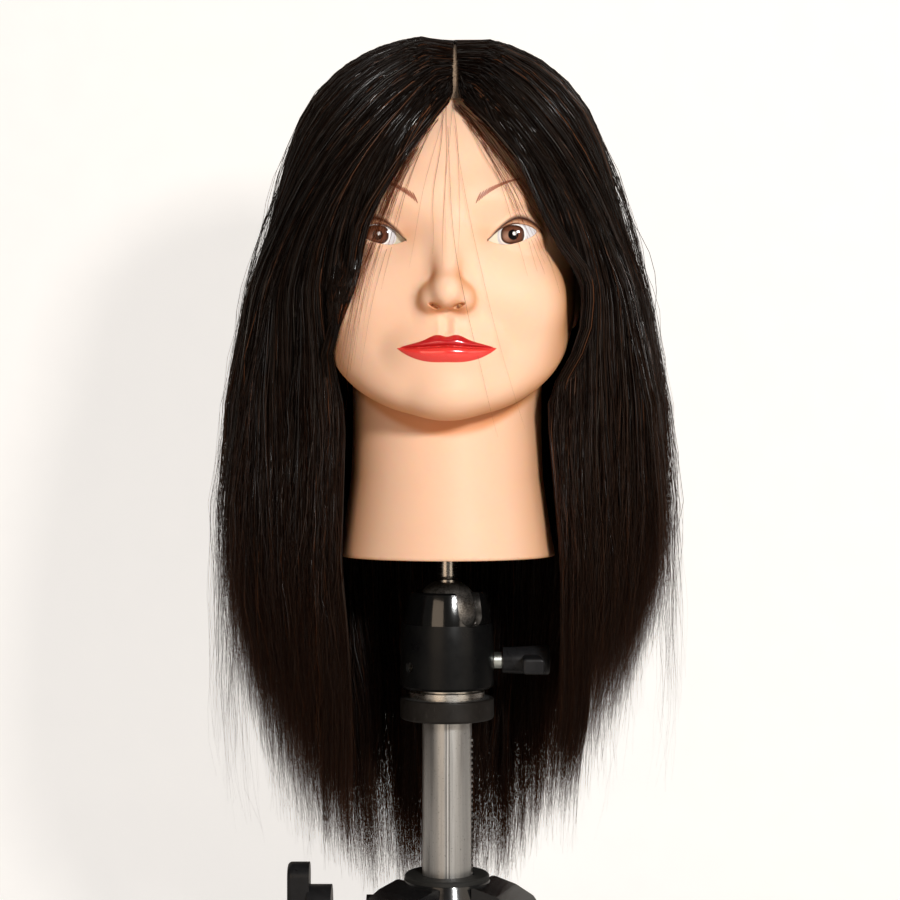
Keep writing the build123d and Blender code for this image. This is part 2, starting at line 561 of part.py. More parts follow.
def make_housing():
    """The ball head's body: a tapered shell, bored below, with a ball seat, a drop notch and screw holes."""
    cavity_r = BALL_R + SLIDE_GAP
    seat_r = sqrt(cavity_r**2 - (HOUSING_TOP - BALL_Z) ** 2)
    with BuildPart() as housing:
        with BuildSketch(Plane.XZ):
            with BuildLine():
                Polyline(
                    (HOUSING_TOP_R - 1, HOUSING_TOP), (0, HOUSING_TOP), (0, HOUSING_BOTTOM),
                    (HOUSING_R - 1.5, HOUSING_BOTTOM), (HOUSING_R, HOUSING_BOTTOM + 1.5), (HOUSING_R, 180),
                )
                Spline((HOUSING_R, 180), (25.3, 188), (HOUSING_BAND_R, HOUSING_BAND_Z))
                Line((HOUSING_BAND_R, HOUSING_BAND_Z), (HOUSING_BAND_R - 0.3, HOUSING_BAND_Z))
                Spline(
                    (HOUSING_BAND_R - 0.3, HOUSING_BAND_Z), (23.2, 204), (HOUSING_TOP_R, HOUSING_TOP - 1),
                )
                Line((HOUSING_TOP_R, HOUSING_TOP - 1), (HOUSING_TOP_R - 1, HOUSING_TOP))
            make_face()
        revolve(axis=Axis.Z)
        with BuildSketch(Plane.XY.offset(HOUSING_BOTTOM)):
            Circle(HOUSING_BORE_R)
        extrude(amount=BALL_Z - 3 - HOUSING_BOTTOM, mode=Mode.SUBTRACT)
        with BuildSketch(Plane.XY.offset(CIRCLIP_Z - CIRCLIP_THICKNESS / 2 - 0.1)):
            Circle(HOUSING_BORE_R + 1.1)
        extrude(amount=CIRCLIP_THICKNESS + 0.2, mode=Mode.SUBTRACT)
        with Locations((0, 0, BALL_Z)):
            Sphere(cavity_r, mode=Mode.SUBTRACT)
        with BuildSketch(Plane.XY.offset(HOUSING_TOP - 3)):
            Circle(seat_r)
        extrude(amount=4, mode=Mode.SUBTRACT)
        with BuildSketch(radial_plane(NOTCH_AZIMUTH, BALL_Z)):
            Circle(NOTCH_WIDTH / 2)
            with Locations((0, 10)):
                Rectangle(NOTCH_WIDTH, 20)
        extrude(amount=HOUSING_R + 5, mode=Mode.SUBTRACT)
        with BuildSketch(Plane.YZ.offset(HOUSING_BORE_R - 4)):
            with Locations((0, BALL_LOCK_Z)):
                Circle(BALL_LOCK_R + 0.1)
        extrude(amount=14, mode=Mode.SUBTRACT)
        with BuildSketch(radial_plane(GRUB_AZIMUTH, GRUB_Z).offset(HOUSING_BORE_R - 4)):
            Circle(GRUB_R + 0.1)
        extrude(amount=14, mode=Mode.SUBTRACT)
    return housing


save(make_housing(), "ball_housing")

PLUNGER_TOP = BALL_Z - BALL_R - CUP_THICKNESS - 1.5
with BuildPart() as plunger:
    with BuildSketch(Plane.XY.offset(BASE_BOSS_TOP + 0.2)):
        Circle(HOUSING_BORE_R - SLIDE_GAP)
    extrude(amount=PLUNGER_TOP - BASE_BOSS_TOP - 0.2)
    with BuildSketch(Plane.YZ.offset(4)):
        with Locations((0, BALL_LOCK_Z)):
            Circle(BALL_LOCK_R + 0.1)
    extrude(amount=20, mode=Mode.SUBTRACT)
    with BuildSketch(radial_plane(GRUB_AZIMUTH, GRUB_Z).offset(18)):
        Rectangle(8, 8)
    extrude(amount=4, mode=Mode.SUBTRACT)
save(plunger, "lock_plunger")

with BuildPart() as brake_pad:
    with BuildSketch(Plane.XY.offset(PLUNGER_TOP + 0.1)):
        Circle(HOUSING_BORE_R - 0.2)
    extrude(amount=9.4)
    with Locations((0, 0, BALL_Z)):
        Sphere(BALL_R + 2 * SLIDE_GAP + CUP_THICKNESS, mode=Mode.SUBTRACT)
save(brake_pad, "brake_pad")

with BuildPart() as cup:
    with Locations((0, 0, BALL_Z)):
        Sphere(BALL_R + SLIDE_GAP + CUP_THICKNESS)
        Sphere(BALL_R + SLIDE_GAP, mode=Mode.SUBTRACT)
    rim_z = BALL_Z - (BALL_R + SLIDE_GAP + CUP_THICKNESS) * cos(CUP_HALF_ANGLE)
    split(bisect_by=Plane.XY.offset(rim_z), keep=Keep.BOTTOM)
save(cup, "ball_cup")

with BuildPart() as grub_screw:
    with BuildSketch(radial_plane(GRUB_AZIMUTH, GRUB_Z).offset(18.2)):
        Circle(GRUB_R)
    extrude(amount=6.0)
    with BuildSketch(radial_plane(GRUB_AZIMUTH, GRUB_Z).offset(21.6)):
        RegularPolygon(1.4, 6)
    extrude(amount=3, mode=Mode.SUBTRACT)
save(grub_screw, "friction_grub_screw")

with BuildPart() as ball_lock_screw:
    with BuildSketch(Plane.YZ.offset(6.5)):
        with Locations((0, BALL_LOCK_Z)):
            Circle(BALL_LOCK_R)
    extrude(amount=29)
    chamfer(ball_lock_screw.edges().group_by(Axis.X)[0], 1.8)
save(ball_lock_screw, "ball_lock_screw")

with BuildPart() as lever_collar:
    with BuildSketch(Plane.YZ.offset(HOUSING_R + 0.15)):
        with Locations((0, BALL_LOCK_Z)):
            Circle(COLLAR_R)
            Circle(BALL_LOCK_R + SEAT_GAP, mode=Mode.SUBTRACT)
    extrude(amount=COLLAR_LENGTH)
    chamfer(lever_collar.edges().group_by(Axis.X)[-1], 0.4)
save(lever_collar, "ball_lock_collar")

with BuildPart() as lever:
    with BuildSketch(Plane.YZ.offset(LEVER_START)):
        with Locations((0, BALL_LOCK_Z)):
            Circle(7.0)
    with BuildSketch(Plane.YZ.offset(LEVER_END)):
        with Locations((0, BALL_LOCK_Z)):
            Circle(8.2)
    loft()
    with BuildSketch(Plane.XZ):
        with Locations((LEVER_ARM_X, BALL_LOCK_Z)):
            RectangleRounded(9, 7, 1.5)
    with BuildSketch(Plane.XZ.offset(LEVER_ARM_REACH)):
        with Locations((LEVER_ARM_X, BALL_LOCK_Z)):
            RectangleRounded(12, 8.6, 2)
    loft()
    fillet(lever.edges().group_by(Axis.Y)[0], 1.6)
    fillet(lever.edges().group_by(Axis.X)[-1], 1.8)
    with BuildSketch(Plane.YZ.offset(LEVER_START)):
        with Locations((0, BALL_LOCK_Z)):
            Circle(BALL_LOCK_R + SEAT_GAP)
    extrude(amount=5.2, mode=Mode.SUBTRACT)
save(lever, "ball_lock_lever")

with BuildPart() as ball:
    with Locations((0, 0, BALL_Z)):
        Sphere(BALL_R)
    split(bisect_by=Plane.XY.offset(BALL_Z + BALL_FLAT), keep=Keep.BOTTOM)
    with BuildSketch(Plane.XY.offset(BALL_Z + 1)):
        Circle(PIN_SHANK_R + SEAT_GAP)
    extrude(amount=BALL_FLAT, mode=Mode.SUBTRACT)
save(ball, "ball")

with BuildPart() as pin:
    with BuildSketch(Plane.XZ):
        with BuildLine():
            flange_z = BALL_Z + BALL_FLAT + RUN_GAP
            Polyline(
                (0, BALL_Z + 2), (PIN_SHANK_R, BALL_Z + 2), (PIN_SHANK_R, flange_z), (PIN_FLANGE_R, flange_z),
                (PIN_FLANGE_R, flange_z + 1.3), (PIN_R - 0.5, flange_z + 2.2), (PIN_R, flange_z + 3.2),
                (PIN_R, PIN_TOP - 1.5), (PIN_R - 1.5, PIN_TOP), (0, PIN_TOP), close=True,
            )
        make_face()
    revolve(axis=Axis.Z)
save(pin, "spigot_pin")

# ---------------------------------------------------------------- the head


def ellipsoid(centre, semi):
    """A solid ellipsoid with its semi-axes along X, Y and Z."""
    unit = 100
    with BuildPart() as body:
        Sphere(unit)
        scale(by=tuple(s / unit for s in semi))
    return body.part.moved(Location(centre))


def head_form(grow):
    """The closed head and neck form, every section grown by grow (negative for an inner form)."""
    with BuildPart() as form:
        for height, wide, deep, y in NECK:
            with BuildSketch(Plane.XY.offset(height)):
                with Locations((0, y)):
                    Ellipse(wide + grow, deep + grow)
        loft()
        for centre, semi in (CRANIUM, LOWER_FACE, CHIN):
            add(ellipsoid(centre, tuple(s + grow for s in semi)))
    return form.part


def eye_form(side, grow):
    """The ball that one eye is cut from."""
    with BuildPart() as body:
        with Locations(Location((side * EYE_X, EYE_Y, EYE_Z), (90, 0, 0))):
            Sphere(EYE_R + grow)
    return body.part


def ear_form(side, grow):
    """One ear, as a flattened oval against the side of the head."""
    (x, y, z), semi = EAR
    return ellipsoid((side * x, y, z), tuple(s + grow for s in semi))


with BuildPart() as head_shell:
    add(head_form(0))
    for centre, semi in FEATURES:
        add(ellipsoid(centre, semi))
    for side in (-1, 1):
        add(ear_form(side, 0))
    add(head_form(-SKIN), mode=Mode.SUBTRACT)
    for side in (-1, 1):
        add(eye_form(side, 0.1), mode=Mode.SUBTRACT)
save(head_shell, "head_shell")

for name, side in (("eye_left", -1), ("eye_right", 1)):
    with BuildPart() as eye:
        add(eye_form(side, 0))
        split(bisect_by=Plane.XZ.offset(-EYE_Y + EYE_CUT), keep=Keep.TOP)
    save(eye, name)

with BuildPart() as foam_core:
    add(head_form(-SKIN - 0.3))
    with BuildSketch(Plane.XY.offset(NECK_BOTTOM)):
        Rectangle(200, 200)
    extrude(amount=5, mode=Mode.SUBTRACT)
    with BuildSketch(Plane.XY.offset(NECK_BOTTOM)):
        Circle(SOCKET_R + SLIDE_GAP)
    extrude(amount=SOCKET_LENGTH + 6, mode=Mode.SUBTRACT)
    for side in (-1, 1):
        add(eye_form(side, 0.1), mode=Mode.SUBTRACT)
save(foam_core, "foam_core")

PLUG_SCREWS = [
    (PLUG_SCREW_RING * sin(radians(a)), PLUG_SCREW_RING * cos(radians(a))) for a in PLUG_SCREW_ANGLES
]
with BuildPart() as base_plug:
    with BuildSketch(Plane.XY.offset(NECK_BOTTOM)):
        Ellipse(PLUG_X, PLUG_Y)
        Circle(PIN_R + SLIDE_GAP, mode=Mode.SUBTRACT)
    extrude(amount=PLUG_THICKNESS)
    with BuildSketch(Plane.XY.offset(NECK_BOTTOM)):
        with Locations(*PLUG_SCREWS):
            Circle(PLUG_SCREW_HEAD_R + 0.2)
    extrude(amount=1.8, mode=Mode.SUBTRACT)
    with BuildSketch(Plane.XY.offset(NECK_BOTTOM)):
        with Locations(*PLUG_SCREWS):
            Circle(PLUG_SCREW_R + RUN_GAP)
    extrude(amount=PLUG_THICKNESS, mode=Mode.SUBTRACT)
save(base_plug, "neck_base_plug")

with BuildPart() as plug_screws:
    with BuildSketch(Plane.XY.offset(NECK_BOTTOM + 0.1)):
        with Locations(*PLUG_SCREWS):
            Circle(PLUG_SCREW_HEAD_R)
    extrude(amount=1.6)
    with BuildSketch(Plane.XY.offset(NECK_BOTTOM + 1.7)):
        with Locations(*PLUG_SCREWS):
            Circle(PLUG_SCREW_R)
    extrude(amount=3.0)
save(plug_screws, "neck_plug_screws")

with BuildPart() as neck_socket:
    with BuildSketch(Plane.XY.offset(NECK_BOTTOM + 5)):
        Circle(SOCKET_R)
    extrude(amount=SOCKET_LENGTH)
    with BuildSketch(Plane.XY.offset(NECK_BOTTOM + 5)):
        Circle(PIN_R + RUN_GAP + 0.01)
    extrude(amount=SOCKET_DEPTH, mode=Mode.SUBTRACT)
save(neck_socket, "neck_socket")


# ---------------------------------------------------------------- the scalp and the hair
def over_cranium(grow):
    """The cranium alone, grown."""
    centre, semi = CRANIUM
    return ellipsoid(centre, tuple(s + grow for s in semi))


with BuildPart() as scalp_cap:
    add(over_cranium(CAP_GAP + CAP_THICKNESS))
    add(over_cranium(CAP_GAP), mode=Mode.SUBTRACT)
    split(bisect_by=HAIRLINE, keep=Keep.TOP)
    for side in (-1, 1):
        add(ear_form(side, EAR_ROOM), mode=Mode.SUBTRACT)
save(scalp_cap, "scalp_cap")


def make_hair():
    """The whole fall of hair as one form, hollow over the head and open in front of the face."""
    with BuildPart() as fall:
        with BuildSketch(Plane.XZ):
            with BuildLine():
                Spline(*HAIR_OUTLINE)
                Polyline(HAIR_OUTLINE[-1], (0, HAIR_OUTLINE[-1][1]), HAIR_OUTLINE[0])
            make_face()
        revolve(axis=Axis.Z)
        scale(by=(1, HAIR_DEPTH, 1))
    with BuildPart() as hair:
        add(fall.part.moved(Location((0, HAIR_Y, 0))))
        add(over_cranium(HAIR_OVER_CRANIUM))
        add(head_form(HAIR_GAP), mode=Mode.SUBTRACT)
        for side in (-1, 1):
            add(ear_form(side, HAIR_GAP), mode=Mode.SUBTRACT)
            add(eye_form(side, 1), mode=Mode.SUBTRACT)
        with BuildSketch(Plane.XY):
            Circle(HAIR_INNER_R)
        extrude(amount=NECK_BOTTOM + 20, mode=Mode.SUBTRACT)
        with BuildSketch(Plane.XZ):
            with BuildLine():
                Polyline(*FACE_OPENING, close=True)
            make_face()
        extrude(amount=HAIR_REACH, mode=Mode.SUBTRACT)
    return hair.part


def hair_fall(whole, low, high):
    """The part of the whole hair between two (x, y) corners in plan."""
    with BuildPart() as fall:
        add(whole)
        with BuildSketch(Plane.XY):
            with Locations(((low[0] + high[0]) / 2, (low[1] + high[1]) / 2)):
                Rectangle(high[0] - low[0], high[1] - low[1])
        extrude(amount=HAIR_TOP, mode=Mode.INTERSECT)
    return fall


hair = make_hair()
save(hair_fall(hair, (-HAIR_REACH, HAIR_BACK_Y + 0.1), (HAIR_REACH, HAIR_REACH)), "hair_back")
save(hair_fall(hair, (-HAIR_REACH, -HAIR_REACH), (PARTING_X - 0.1, HAIR_BACK_Y - 0.1)), "hair_left")
save(hair_fall(hair, (PARTING_X + 0.1, -HAIR_REACH), (HAIR_REACH, HAIR_BACK_Y - 0.1)), "hair_right")
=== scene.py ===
"""Looks of the mannequin training head: sculpted vinyl face, rooted hair, ball head and rack column.

Everything is in the CAD part's frame. Shapes are worked out in millimetres and written in metres.
"""

import math

import bmesh
import bpy
import numpy as np
import openvdb
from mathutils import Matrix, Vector


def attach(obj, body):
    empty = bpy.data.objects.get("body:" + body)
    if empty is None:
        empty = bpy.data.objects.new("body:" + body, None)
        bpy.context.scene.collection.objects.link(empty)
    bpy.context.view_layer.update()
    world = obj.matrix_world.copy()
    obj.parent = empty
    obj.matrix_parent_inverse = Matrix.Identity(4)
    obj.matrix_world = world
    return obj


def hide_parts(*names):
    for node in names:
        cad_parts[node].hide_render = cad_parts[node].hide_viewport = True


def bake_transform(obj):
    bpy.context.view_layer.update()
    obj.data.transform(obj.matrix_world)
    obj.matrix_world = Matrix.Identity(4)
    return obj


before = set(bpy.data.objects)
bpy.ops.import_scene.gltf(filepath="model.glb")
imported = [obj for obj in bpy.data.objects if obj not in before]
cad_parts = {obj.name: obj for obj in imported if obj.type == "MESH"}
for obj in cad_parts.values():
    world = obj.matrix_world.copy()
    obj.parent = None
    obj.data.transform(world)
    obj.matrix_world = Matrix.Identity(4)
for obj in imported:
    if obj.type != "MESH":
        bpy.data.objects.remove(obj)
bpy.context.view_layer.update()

MM = 0.001
rng = np.random.default_rng(11)

# ------------------------------ sizes shared by the pieces, in mm
NECK_BOTTOM = 232.5
CRANIUM = ((0, 8, 412), (72, 94, 98))
LOWER_FACE = ((0, -14, 376), (67.5, 74, 66))
EYE = (33.4, -64.0, 400.0)
EYE_SEMI = (15.0, 13.0, 13.0)
PARTING_X = 4.0
HAIR_SPLIT_Z = 262.0


# ------------------------------ small helpers
def smoothstep(t):
    t = np.clip(t, 0, 1)
    return t * t * (3 - 2 * t)


def smooth_min(a, b, k):
    h = np.clip(0.5 + 0.5 * (b - a) / k, 0, 1)
    return b * (1 - h) + a * h - k * h * (1 - h)


def smooth_max(a, b, k):
    return -smooth_min(-a, -b, k)


def ellipsoid(x, y, z, centre, semi):
    qx, qy, qz = (x - centre[0]) / semi[0], (y - centre[1]) / semi[1], (z - centre[2]) / semi[2]
    k0 = np.sqrt(qx * qx + qy * qy + qz * qz)
    k1 = np.sqrt((qx / semi[0]) ** 2 + (qy / semi[1]) ** 2 + (qz / semi[2]) ** 2)
    return k0 * (k0 - 1) / np.maximum(k1, 1e-6)


def tapered_capsule(x, y, z, a, b, ra, rb):
    ab = np.array(b, np.float32) - np.array(a, np.float32)
    t = ((x - a[0]) * ab[0] + (y - a[1]) * ab[1] + (z - a[2]) * ab[2]) / float(ab @ ab)
    t = np.clip(t, 0, 1)
    dx, dy, dz = x - a[0] - t * ab[0], y - a[1] - t * ab[1], z - a[2] - t * ab[2]
    return np.sqrt(dx * dx + dy * dy + dz * dz) - (ra + (rb - ra) * t)


def add_object(name, data):
    made = bpy.data.objects.new(name, data)
    bpy.context.scene.collection.objects.link(made)
    return made


def mesh_object(name, vertices_mm, faces, smooth=True):
    mesh = bpy.data.meshes.new(name)
    mesh.from_pydata((np.asarray(vertices_mm) * MM).tolist(), [], faces)
    mesh.update()
    if smooth:
        mesh.shade_smooth()
    return add_object(name, mesh)


def point_attribute(obj, name, values):
    attribute = obj.data.attributes.new(name, "FLOAT", "POINT")
    attribute.data.foreach_set("value", np.asarray(values, np.float32))


# ------------------------------ node helpers
class Graph:
    """A short way to write a material's nodes."""

    def __init__(self, name):
        self.material = bpy.data.materials.new(name)
        self.material.use_nodes = True
        self.tree = self.material.node_tree
        self.bsdf = self.tree.nodes["Principled BSDF"]
        self.output = self.tree.nodes["Material Output"]

    def node(self, kind, inputs=None, **settings):
        made = self.tree.nodes.new(kind)
        for key, value in settings.items():
            setattr(made, key, value)
        for key, value in (inputs or {}).items():
            self.put(made.inputs[key], value)
        return made

    def put(self, socket, value):
        if isinstance(value, bpy.types.NodeSocket):
            self.tree.links.new(value, socket)
        else:
            socket.default_value = value

    def set(self, **inputs):
        for key, value in inputs.items():
            self.put(self.bsdf.inputs[key.replace("_", " ")], value)

    def coords(self):
        return self.node("ShaderNodeTexCoord").outputs["Object"]

    def attribute(self, name):
        return self.node("ShaderNodeAttribute", attribute_name=name).outputs["Fac"]

    def math(self, operation, a, b=0.0, clamp=False):
        made = self.node("ShaderNodeMath", {0: a, 1: b}, operation=operation, use_clamp=clamp)
        return made.outputs[0]

    def noise(self, scale, detail=3.0, rough=0.5, stretch=(1, 1, 1), distortion=0.0):
        mapped = self.node("ShaderNodeMapping", {"Vector": self.coords(), "Scale": stretch})
        inputs = {
            "Vector": mapped.outputs[0], "Scale": scale, "Detail": detail, "Roughness": rough,
            "Distortion": distortion,
        }
        return self.node("ShaderNodeTexNoise", inputs).outputs["Fac"]

    def ramp(self, value, stops):
        made = self.node("ShaderNodeValToRGB", {"Fac": value})
        elements = made.color_ramp.elements
        while len(elements) < len(stops):
            elements.new(0.5)
        for element, (position, colour) in zip(elements, stops):
            element.position = position
            element.color = colour if len(colour) == 4 else (*colour, 1)
        return made.outputs["Color"]

    def grey(self, value, low, high, start=0.3, end=0.7):
        inputs = {"Value": value, "From Min": start, "From Max": end, "To Min": low, "To Max": high}
        return self.node("ShaderNodeMapRange", inputs).outputs["Result"]

    def mix(self, factor, a, b, blend="MIX"):
        made = self.node("ShaderNodeMix", data_type="RGBA", blend_type=blend)
        self.put(made.inputs["Factor"], factor)
        self.put(made.inputs[6], a if isinstance(a, bpy.types.NodeSocket) or len(a) == 4 else (*a, 1))
        self.put(made.inputs[7], b if isinstance(b, bpy.types.NodeSocket) or len(b) == 4 else (*b, 1))
        return made.outputs[2]

    def between(self, factor, a, b):
        return self.node("ShaderNodeMix", {"Factor": factor, 2: a, 3: b}).outputs[0]

    def cover(self, factor, shader):
        """Mixes another shader over the main one."""
        inputs = {"Fac": factor, 1: self.bsdf.outputs[0], 2: shader.outputs[0]}
        self.put(self.output.inputs["Surface"], self.node("ShaderNodeMixShader", inputs).outputs[0])

    def bump(self, height, strength, distance=0.001):
        inputs = {"Height": height, "Strength": strength, "Distance": distance}
        return self.node("ShaderNodeBump", inputs).outputs["Normal"]


# ------------------------------ hardware materials
def worn_metal(name, light, dark, rough, scratch=60.0, stretch=(1, 1, 1), metallic=1.0):
    g = Graph(name)
    patches = g.noise(90, 5, 0.6)
    lines = g.noise(scratch, 6, 0.7, stretch, 0.3)
    colour = g.mix(g.grey(patches, 0, 1), dark, light)
    g.set(Base_Color=g.mix(g.grey(lines, 0, 0.35), colour, light), Metallic=metallic)
    g.set(Roughness=g.grey(lines, rough * 0.7, rough * 1.4), Normal=g.bump(lines, 0.12, 0.0002))
    return g.material


def black_paint(name, rough, worn=0.0, tint=(0.006, 0.006, 0.0065), bump=0.1, coat=0.0):
    g = Graph(name)
    grain = g.noise(900, 3, 0.6)
    smudge = g.noise(70, 5, 0.65)
    scuffs = g.noise(300, 6, 0.8, (1, 1, 0.3), 1.5)
    lighter = tuple(min(1.0, c * 2.2 + 0.006) for c in tint)
    colour = g.mix(g.grey(smudge, 0, 0.6), tint, lighter)
    g.set(Base_Color=g.mix(g.grey(scuffs, 0, worn, 0.6, 0.8), colour, (0.18, 0.165, 0.15)))
    g.set(Roughness=g.grey(smudge, rough * 0.8, rough * 1.3), Coat_Weight=coat, Coat_Roughness=0.08)
    g.set(Normal=g.bump(grain, bump, 0.0002), Specular_IOR_Level=0.22)
    return g.material


def housing_material():
    """Satin black below, and a gloss band above the step at the ball's height."""
    g = Graph("housing_black")
    height = g.node("ShaderNodeSeparateXYZ", {"Vector": g.coords()}).outputs["Z"]
    band = g.math("GREATER_THAN", height, 0.1956)
    grain = g.noise(1100, 3, 0.6)
    smudge = g.noise(80, 6, 0.7)
    scratches = g.noise(260, 6, 0.8, (1, 1, 0.15), 1.2)
    colour = g.mix(g.grey(smudge, 0, 0.7), (0.004, 0.004, 0.0045), (0.009, 0.009, 0.0085))
    g.set(Base_Color=g.mix(g.grey(scratches, 0, 0.4, 0.66, 0.84), colour, (0.08, 0.076, 0.07)))
    g.set(Specular_IOR_Level=g.between(band, 0.16, 0.5))
    g.set(Roughness=g.between(band, g.grey(smudge, 0.26, 0.36), 0.14))
    g.set(Metallic=g.math("MULTIPLY", band, 0.35), Coat_Weight=g.math("MULTIPLY", band, 0.9))
    g.set(Coat_Roughness=0.06, Normal=g.bump(grain, 0.12, 0.0002))
    return g.material


def column_material():
    """Satin anodised tube with drawn lines and specks of dirt, and a groove down its front drawn only in
    colour: painted shade lines beside a painted highlight line.
    """
    g = Graph("column_aluminium")
    lines = g.noise(900, 4, 0.6, (1, 1, 0.02))
    patches = g.noise(40, 4, 0.6, (1, 1, 0.3))
    specks = g.noise(1300, 2, 0.5)
    colour = g.mix(g.grey(patches, 0, 1), (0.46, 0.455, 0.445), (0.6, 0.595, 0.585))
    colour = g.mix(g.grey(lines, 0, 0.4), colour, (0.74, 0.735, 0.72))
    colour = g.mix(g.grey(specks, 0, 0.7, 0.66, 0.74), colour, (0.12, 0.11, 0.1))
    place = g.node("ShaderNodeSeparateXYZ", {"Vector": g.coords()})
    front = g.math("LESS_THAN", place.outputs["Y"], 0.0)
    # painted shade and a painted highlight standing in for the groove down the front
    groove_lines = (
        # centre and half width in mm, and colour
        (-0.5, 0.2, (0.05, 0.05, 0.055)), (0.3, 0.2, (0.9, 0.9, 0.9)), (1.2, 0.14, (0.1, 0.1, 0.1)),
    )
    for centre, half, groove_colour in groove_lines:
        off = g.math("ABSOLUTE", g.math("SUBTRACT", place.outputs["X"], centre * MM))
        line = g.grey(off, 1, 0, (half - 0.08) * MM, (half + 0.08) * MM)
        colour = g.mix(g.math("MULTIPLY", g.math("MULTIPLY", line, front), 0.85), colour, groove_colour)
    g.set(Base_Color=colour, Metallic=0.9)
    g.set(Roughness=g.grey(lines, 0.3, 0.42), Normal=g.bump(lines, 0.3, 0.0002))
    return g.material


def plastic(name, colour, rough, grain=700.0, bump=0.15):
    g = Graph(name)
    fine = g.noise(grain, 3, 0.6)
    broad = g.noise(50, 4, 0.5)
    darker = tuple(c * 0.8 for c in colour)
    g.set(Base_Color=g.mix(g.grey(broad, 0, 1), darker, colour))
    g.set(Roughness=g.grey(fine, rough * 0.85, rough * 1.2), Normal=g.bump(fine, bump, 0.0003))
    return g.material


def ball_material():
    """Bare steel with curved rubbing marks from the seat."""
    g = Graph("ball_steel")
    wave = g.node(
        "ShaderNodeTexWave",
        {"Vector": g.coords(), "Scale": 110.0, "Distortion": 22.0, "Detail": 4.0, "Detail Scale": 2.6},
        wave_type="RINGS",
    ).outputs["Fac"]
    smudge = g.noise(120, 5, 0.7)
    colour = g.mix(g.grey(smudge, 0, 1), (0.06, 0.054, 0.048), (0.24, 0.22, 0.2))
    g.set(Base_Color=g.mix(g.grey(wave, 0, 0.45), colour, (0.42, 0.39, 0.36)), Metallic=0.9)
    g.set(Roughness=g.grey(smudge, 0.28, 0.5), Normal=g.bump(wave, 0.06, 0.0002))
    return g.material


def paint_hardware():
    steel = worn_metal("plated_steel", (0.66, 0.65, 0.62), (0.4, 0.38, 0.35), 0.3)
    pin = worn_metal("pin_steel", (0.62, 0.58, 0.53), (0.3, 0.27, 0.24), 0.24, 200, (1, 1, 6))
    bright = worn_metal("turned_steel", (0.86, 0.83, 0.78), (0.6, 0.57, 0.52), 0.28, 300, (1, 1, 8))
    brass = worn_metal("brass", (0.72, 0.6, 0.38), (0.45, 0.36, 0.2), 0.35)
    collar = worn_metal("turned_alloy", (0.75, 0.78, 0.74), (0.5, 0.54, 0.5), 0.34, 400, (9, 1, 1))
    rack = worn_metal("oiled_rack", (0.3, 0.29, 0.28), (0.1, 0.095, 0.09), 0.36)
    gloss = black_paint("gloss_enamel", 0.2, 0.08, coat=0.6, bump=0.05)
    knob = black_paint("moulded_nylon", 0.3, 0.05, (0.009, 0.009, 0.01), 0.1)
    platform = black_paint("worn_ring", 0.5, 0.35, (0.008, 0.0065, 0.0055), 0.25)
    rim = plastic("textured_bush", (0.014, 0.014, 0.013), 0.6, 1500, 0.6)
    white = plastic("acetal", (0.7, 0.69, 0.65), 0.4)
    rubber = plastic("rubber", (0.02, 0.02, 0.02), 0.75)
    vinyl = plastic("plug_vinyl", (0.62, 0.4, 0.27), 0.5)
    foam = plastic("foam", (0.8, 0.74, 0.58), 0.9, 300, 0.5)
    dark = plastic("socket_nylon", (0.03, 0.03, 0.03), 0.5)
    column, housing, ball = column_material(), housing_material(), ball_material()
    chosen = {
        "crown_body": gloss, "crank_arm": gloss, "upper_column_bush": rim, "lower_column_bush": rim,
        "shaft_bushes": brass, "lock_nut": brass, "column_lock_pad": white, "column_lock_screw": steel,
        "column_lock_knob": knob, "rack_strip": rack, "column_tube": column, "column_end_cap": rim,
        "column_top_plug": steel, "platform_ring": platform, "platform_pad": rubber, "mount_bolt": steel,
        "pinion_gear": rack, "pinion_shaft": steel, "crank_screw": steel, "crank_knob_pin": steel,
        "crank_knob": knob, "pan_base_plate": bright, "pan_circlip": steel, "ball_housing": housing,
        "lock_plunger": brass, "brake_pad": white, "ball_cup": white, "friction_grub_screw": steel,
        "ball_lock_screw": steel, "ball_lock_collar": collar, "ball_lock_lever": knob, "ball": ball,
        "spigot_pin": pin, "foam_core": foam, "neck_base_plug": vinyl, "neck_plug_screws": steel,
        "neck_socket": dark,
    }
    for name, material in chosen.items():
        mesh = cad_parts[name].data
        mesh.materials.clear()
        mesh.materials.append(material)


paint_hardware()


# ------------------------------ the face, as a distance field in mm
# lid outline against u, which runs from -1 at the inner corner of the eye to 1 at the outer one
LID_CENTRE_X, LID_HALF = 33.0, 12.7
NECK_Z = (NECK_BOTTOM, 250, 275, 300, 352)
NECK_WIDE, NECK_DEEP, NECK_Y = (59, 56, 52.4, 51.7, 52), (61, 58.5, 55, 54, 55), (0, 0, 1, 3, 6)
NECK_MEAN_RADIUS = 55
MOUTH_HALF, LIP_LINE_Z = 25.2, 341.6


def lid_curves(ax):
    """Heights of the upper and lower edge of the eye opening at |x|."""
    u = np.clip((ax - LID_CENTRE_X) / LID_HALF, -1, 1)
    base = 398.3 + 2.6 * u
    room = np.maximum(1 - u * u, 0)
    return base + 6.0 * room ** (0.95 - 0.3 * u), base - 4.0 * room ** (0.85 - 0.25 * u), u


def lid_crease(ax):
    """Height of the fold above the upper lid at |x|, and how strong it is."""
    v = (ax - 36.5) / 16.0
    shape = 1 - np.abs(v) ** np.where(v > 0, 2.2, 1.6)
    return 396 + 12.0 * shape, smoothstep((1.05 - np.abs(v)) / 0.35)


def jaw_distance(ax, y, z):
    """The jaw: an ellipsoid sheared so that its chin hangs lowest, and a little square from the front."""
    low = z - 0.56 * (y + 20) - 361
    r = np.sqrt((ax / 66.5) ** 2.1 + ((y + 20) / 66) ** 2 + (low / 40) ** 2)
    return (r - 1) * 37


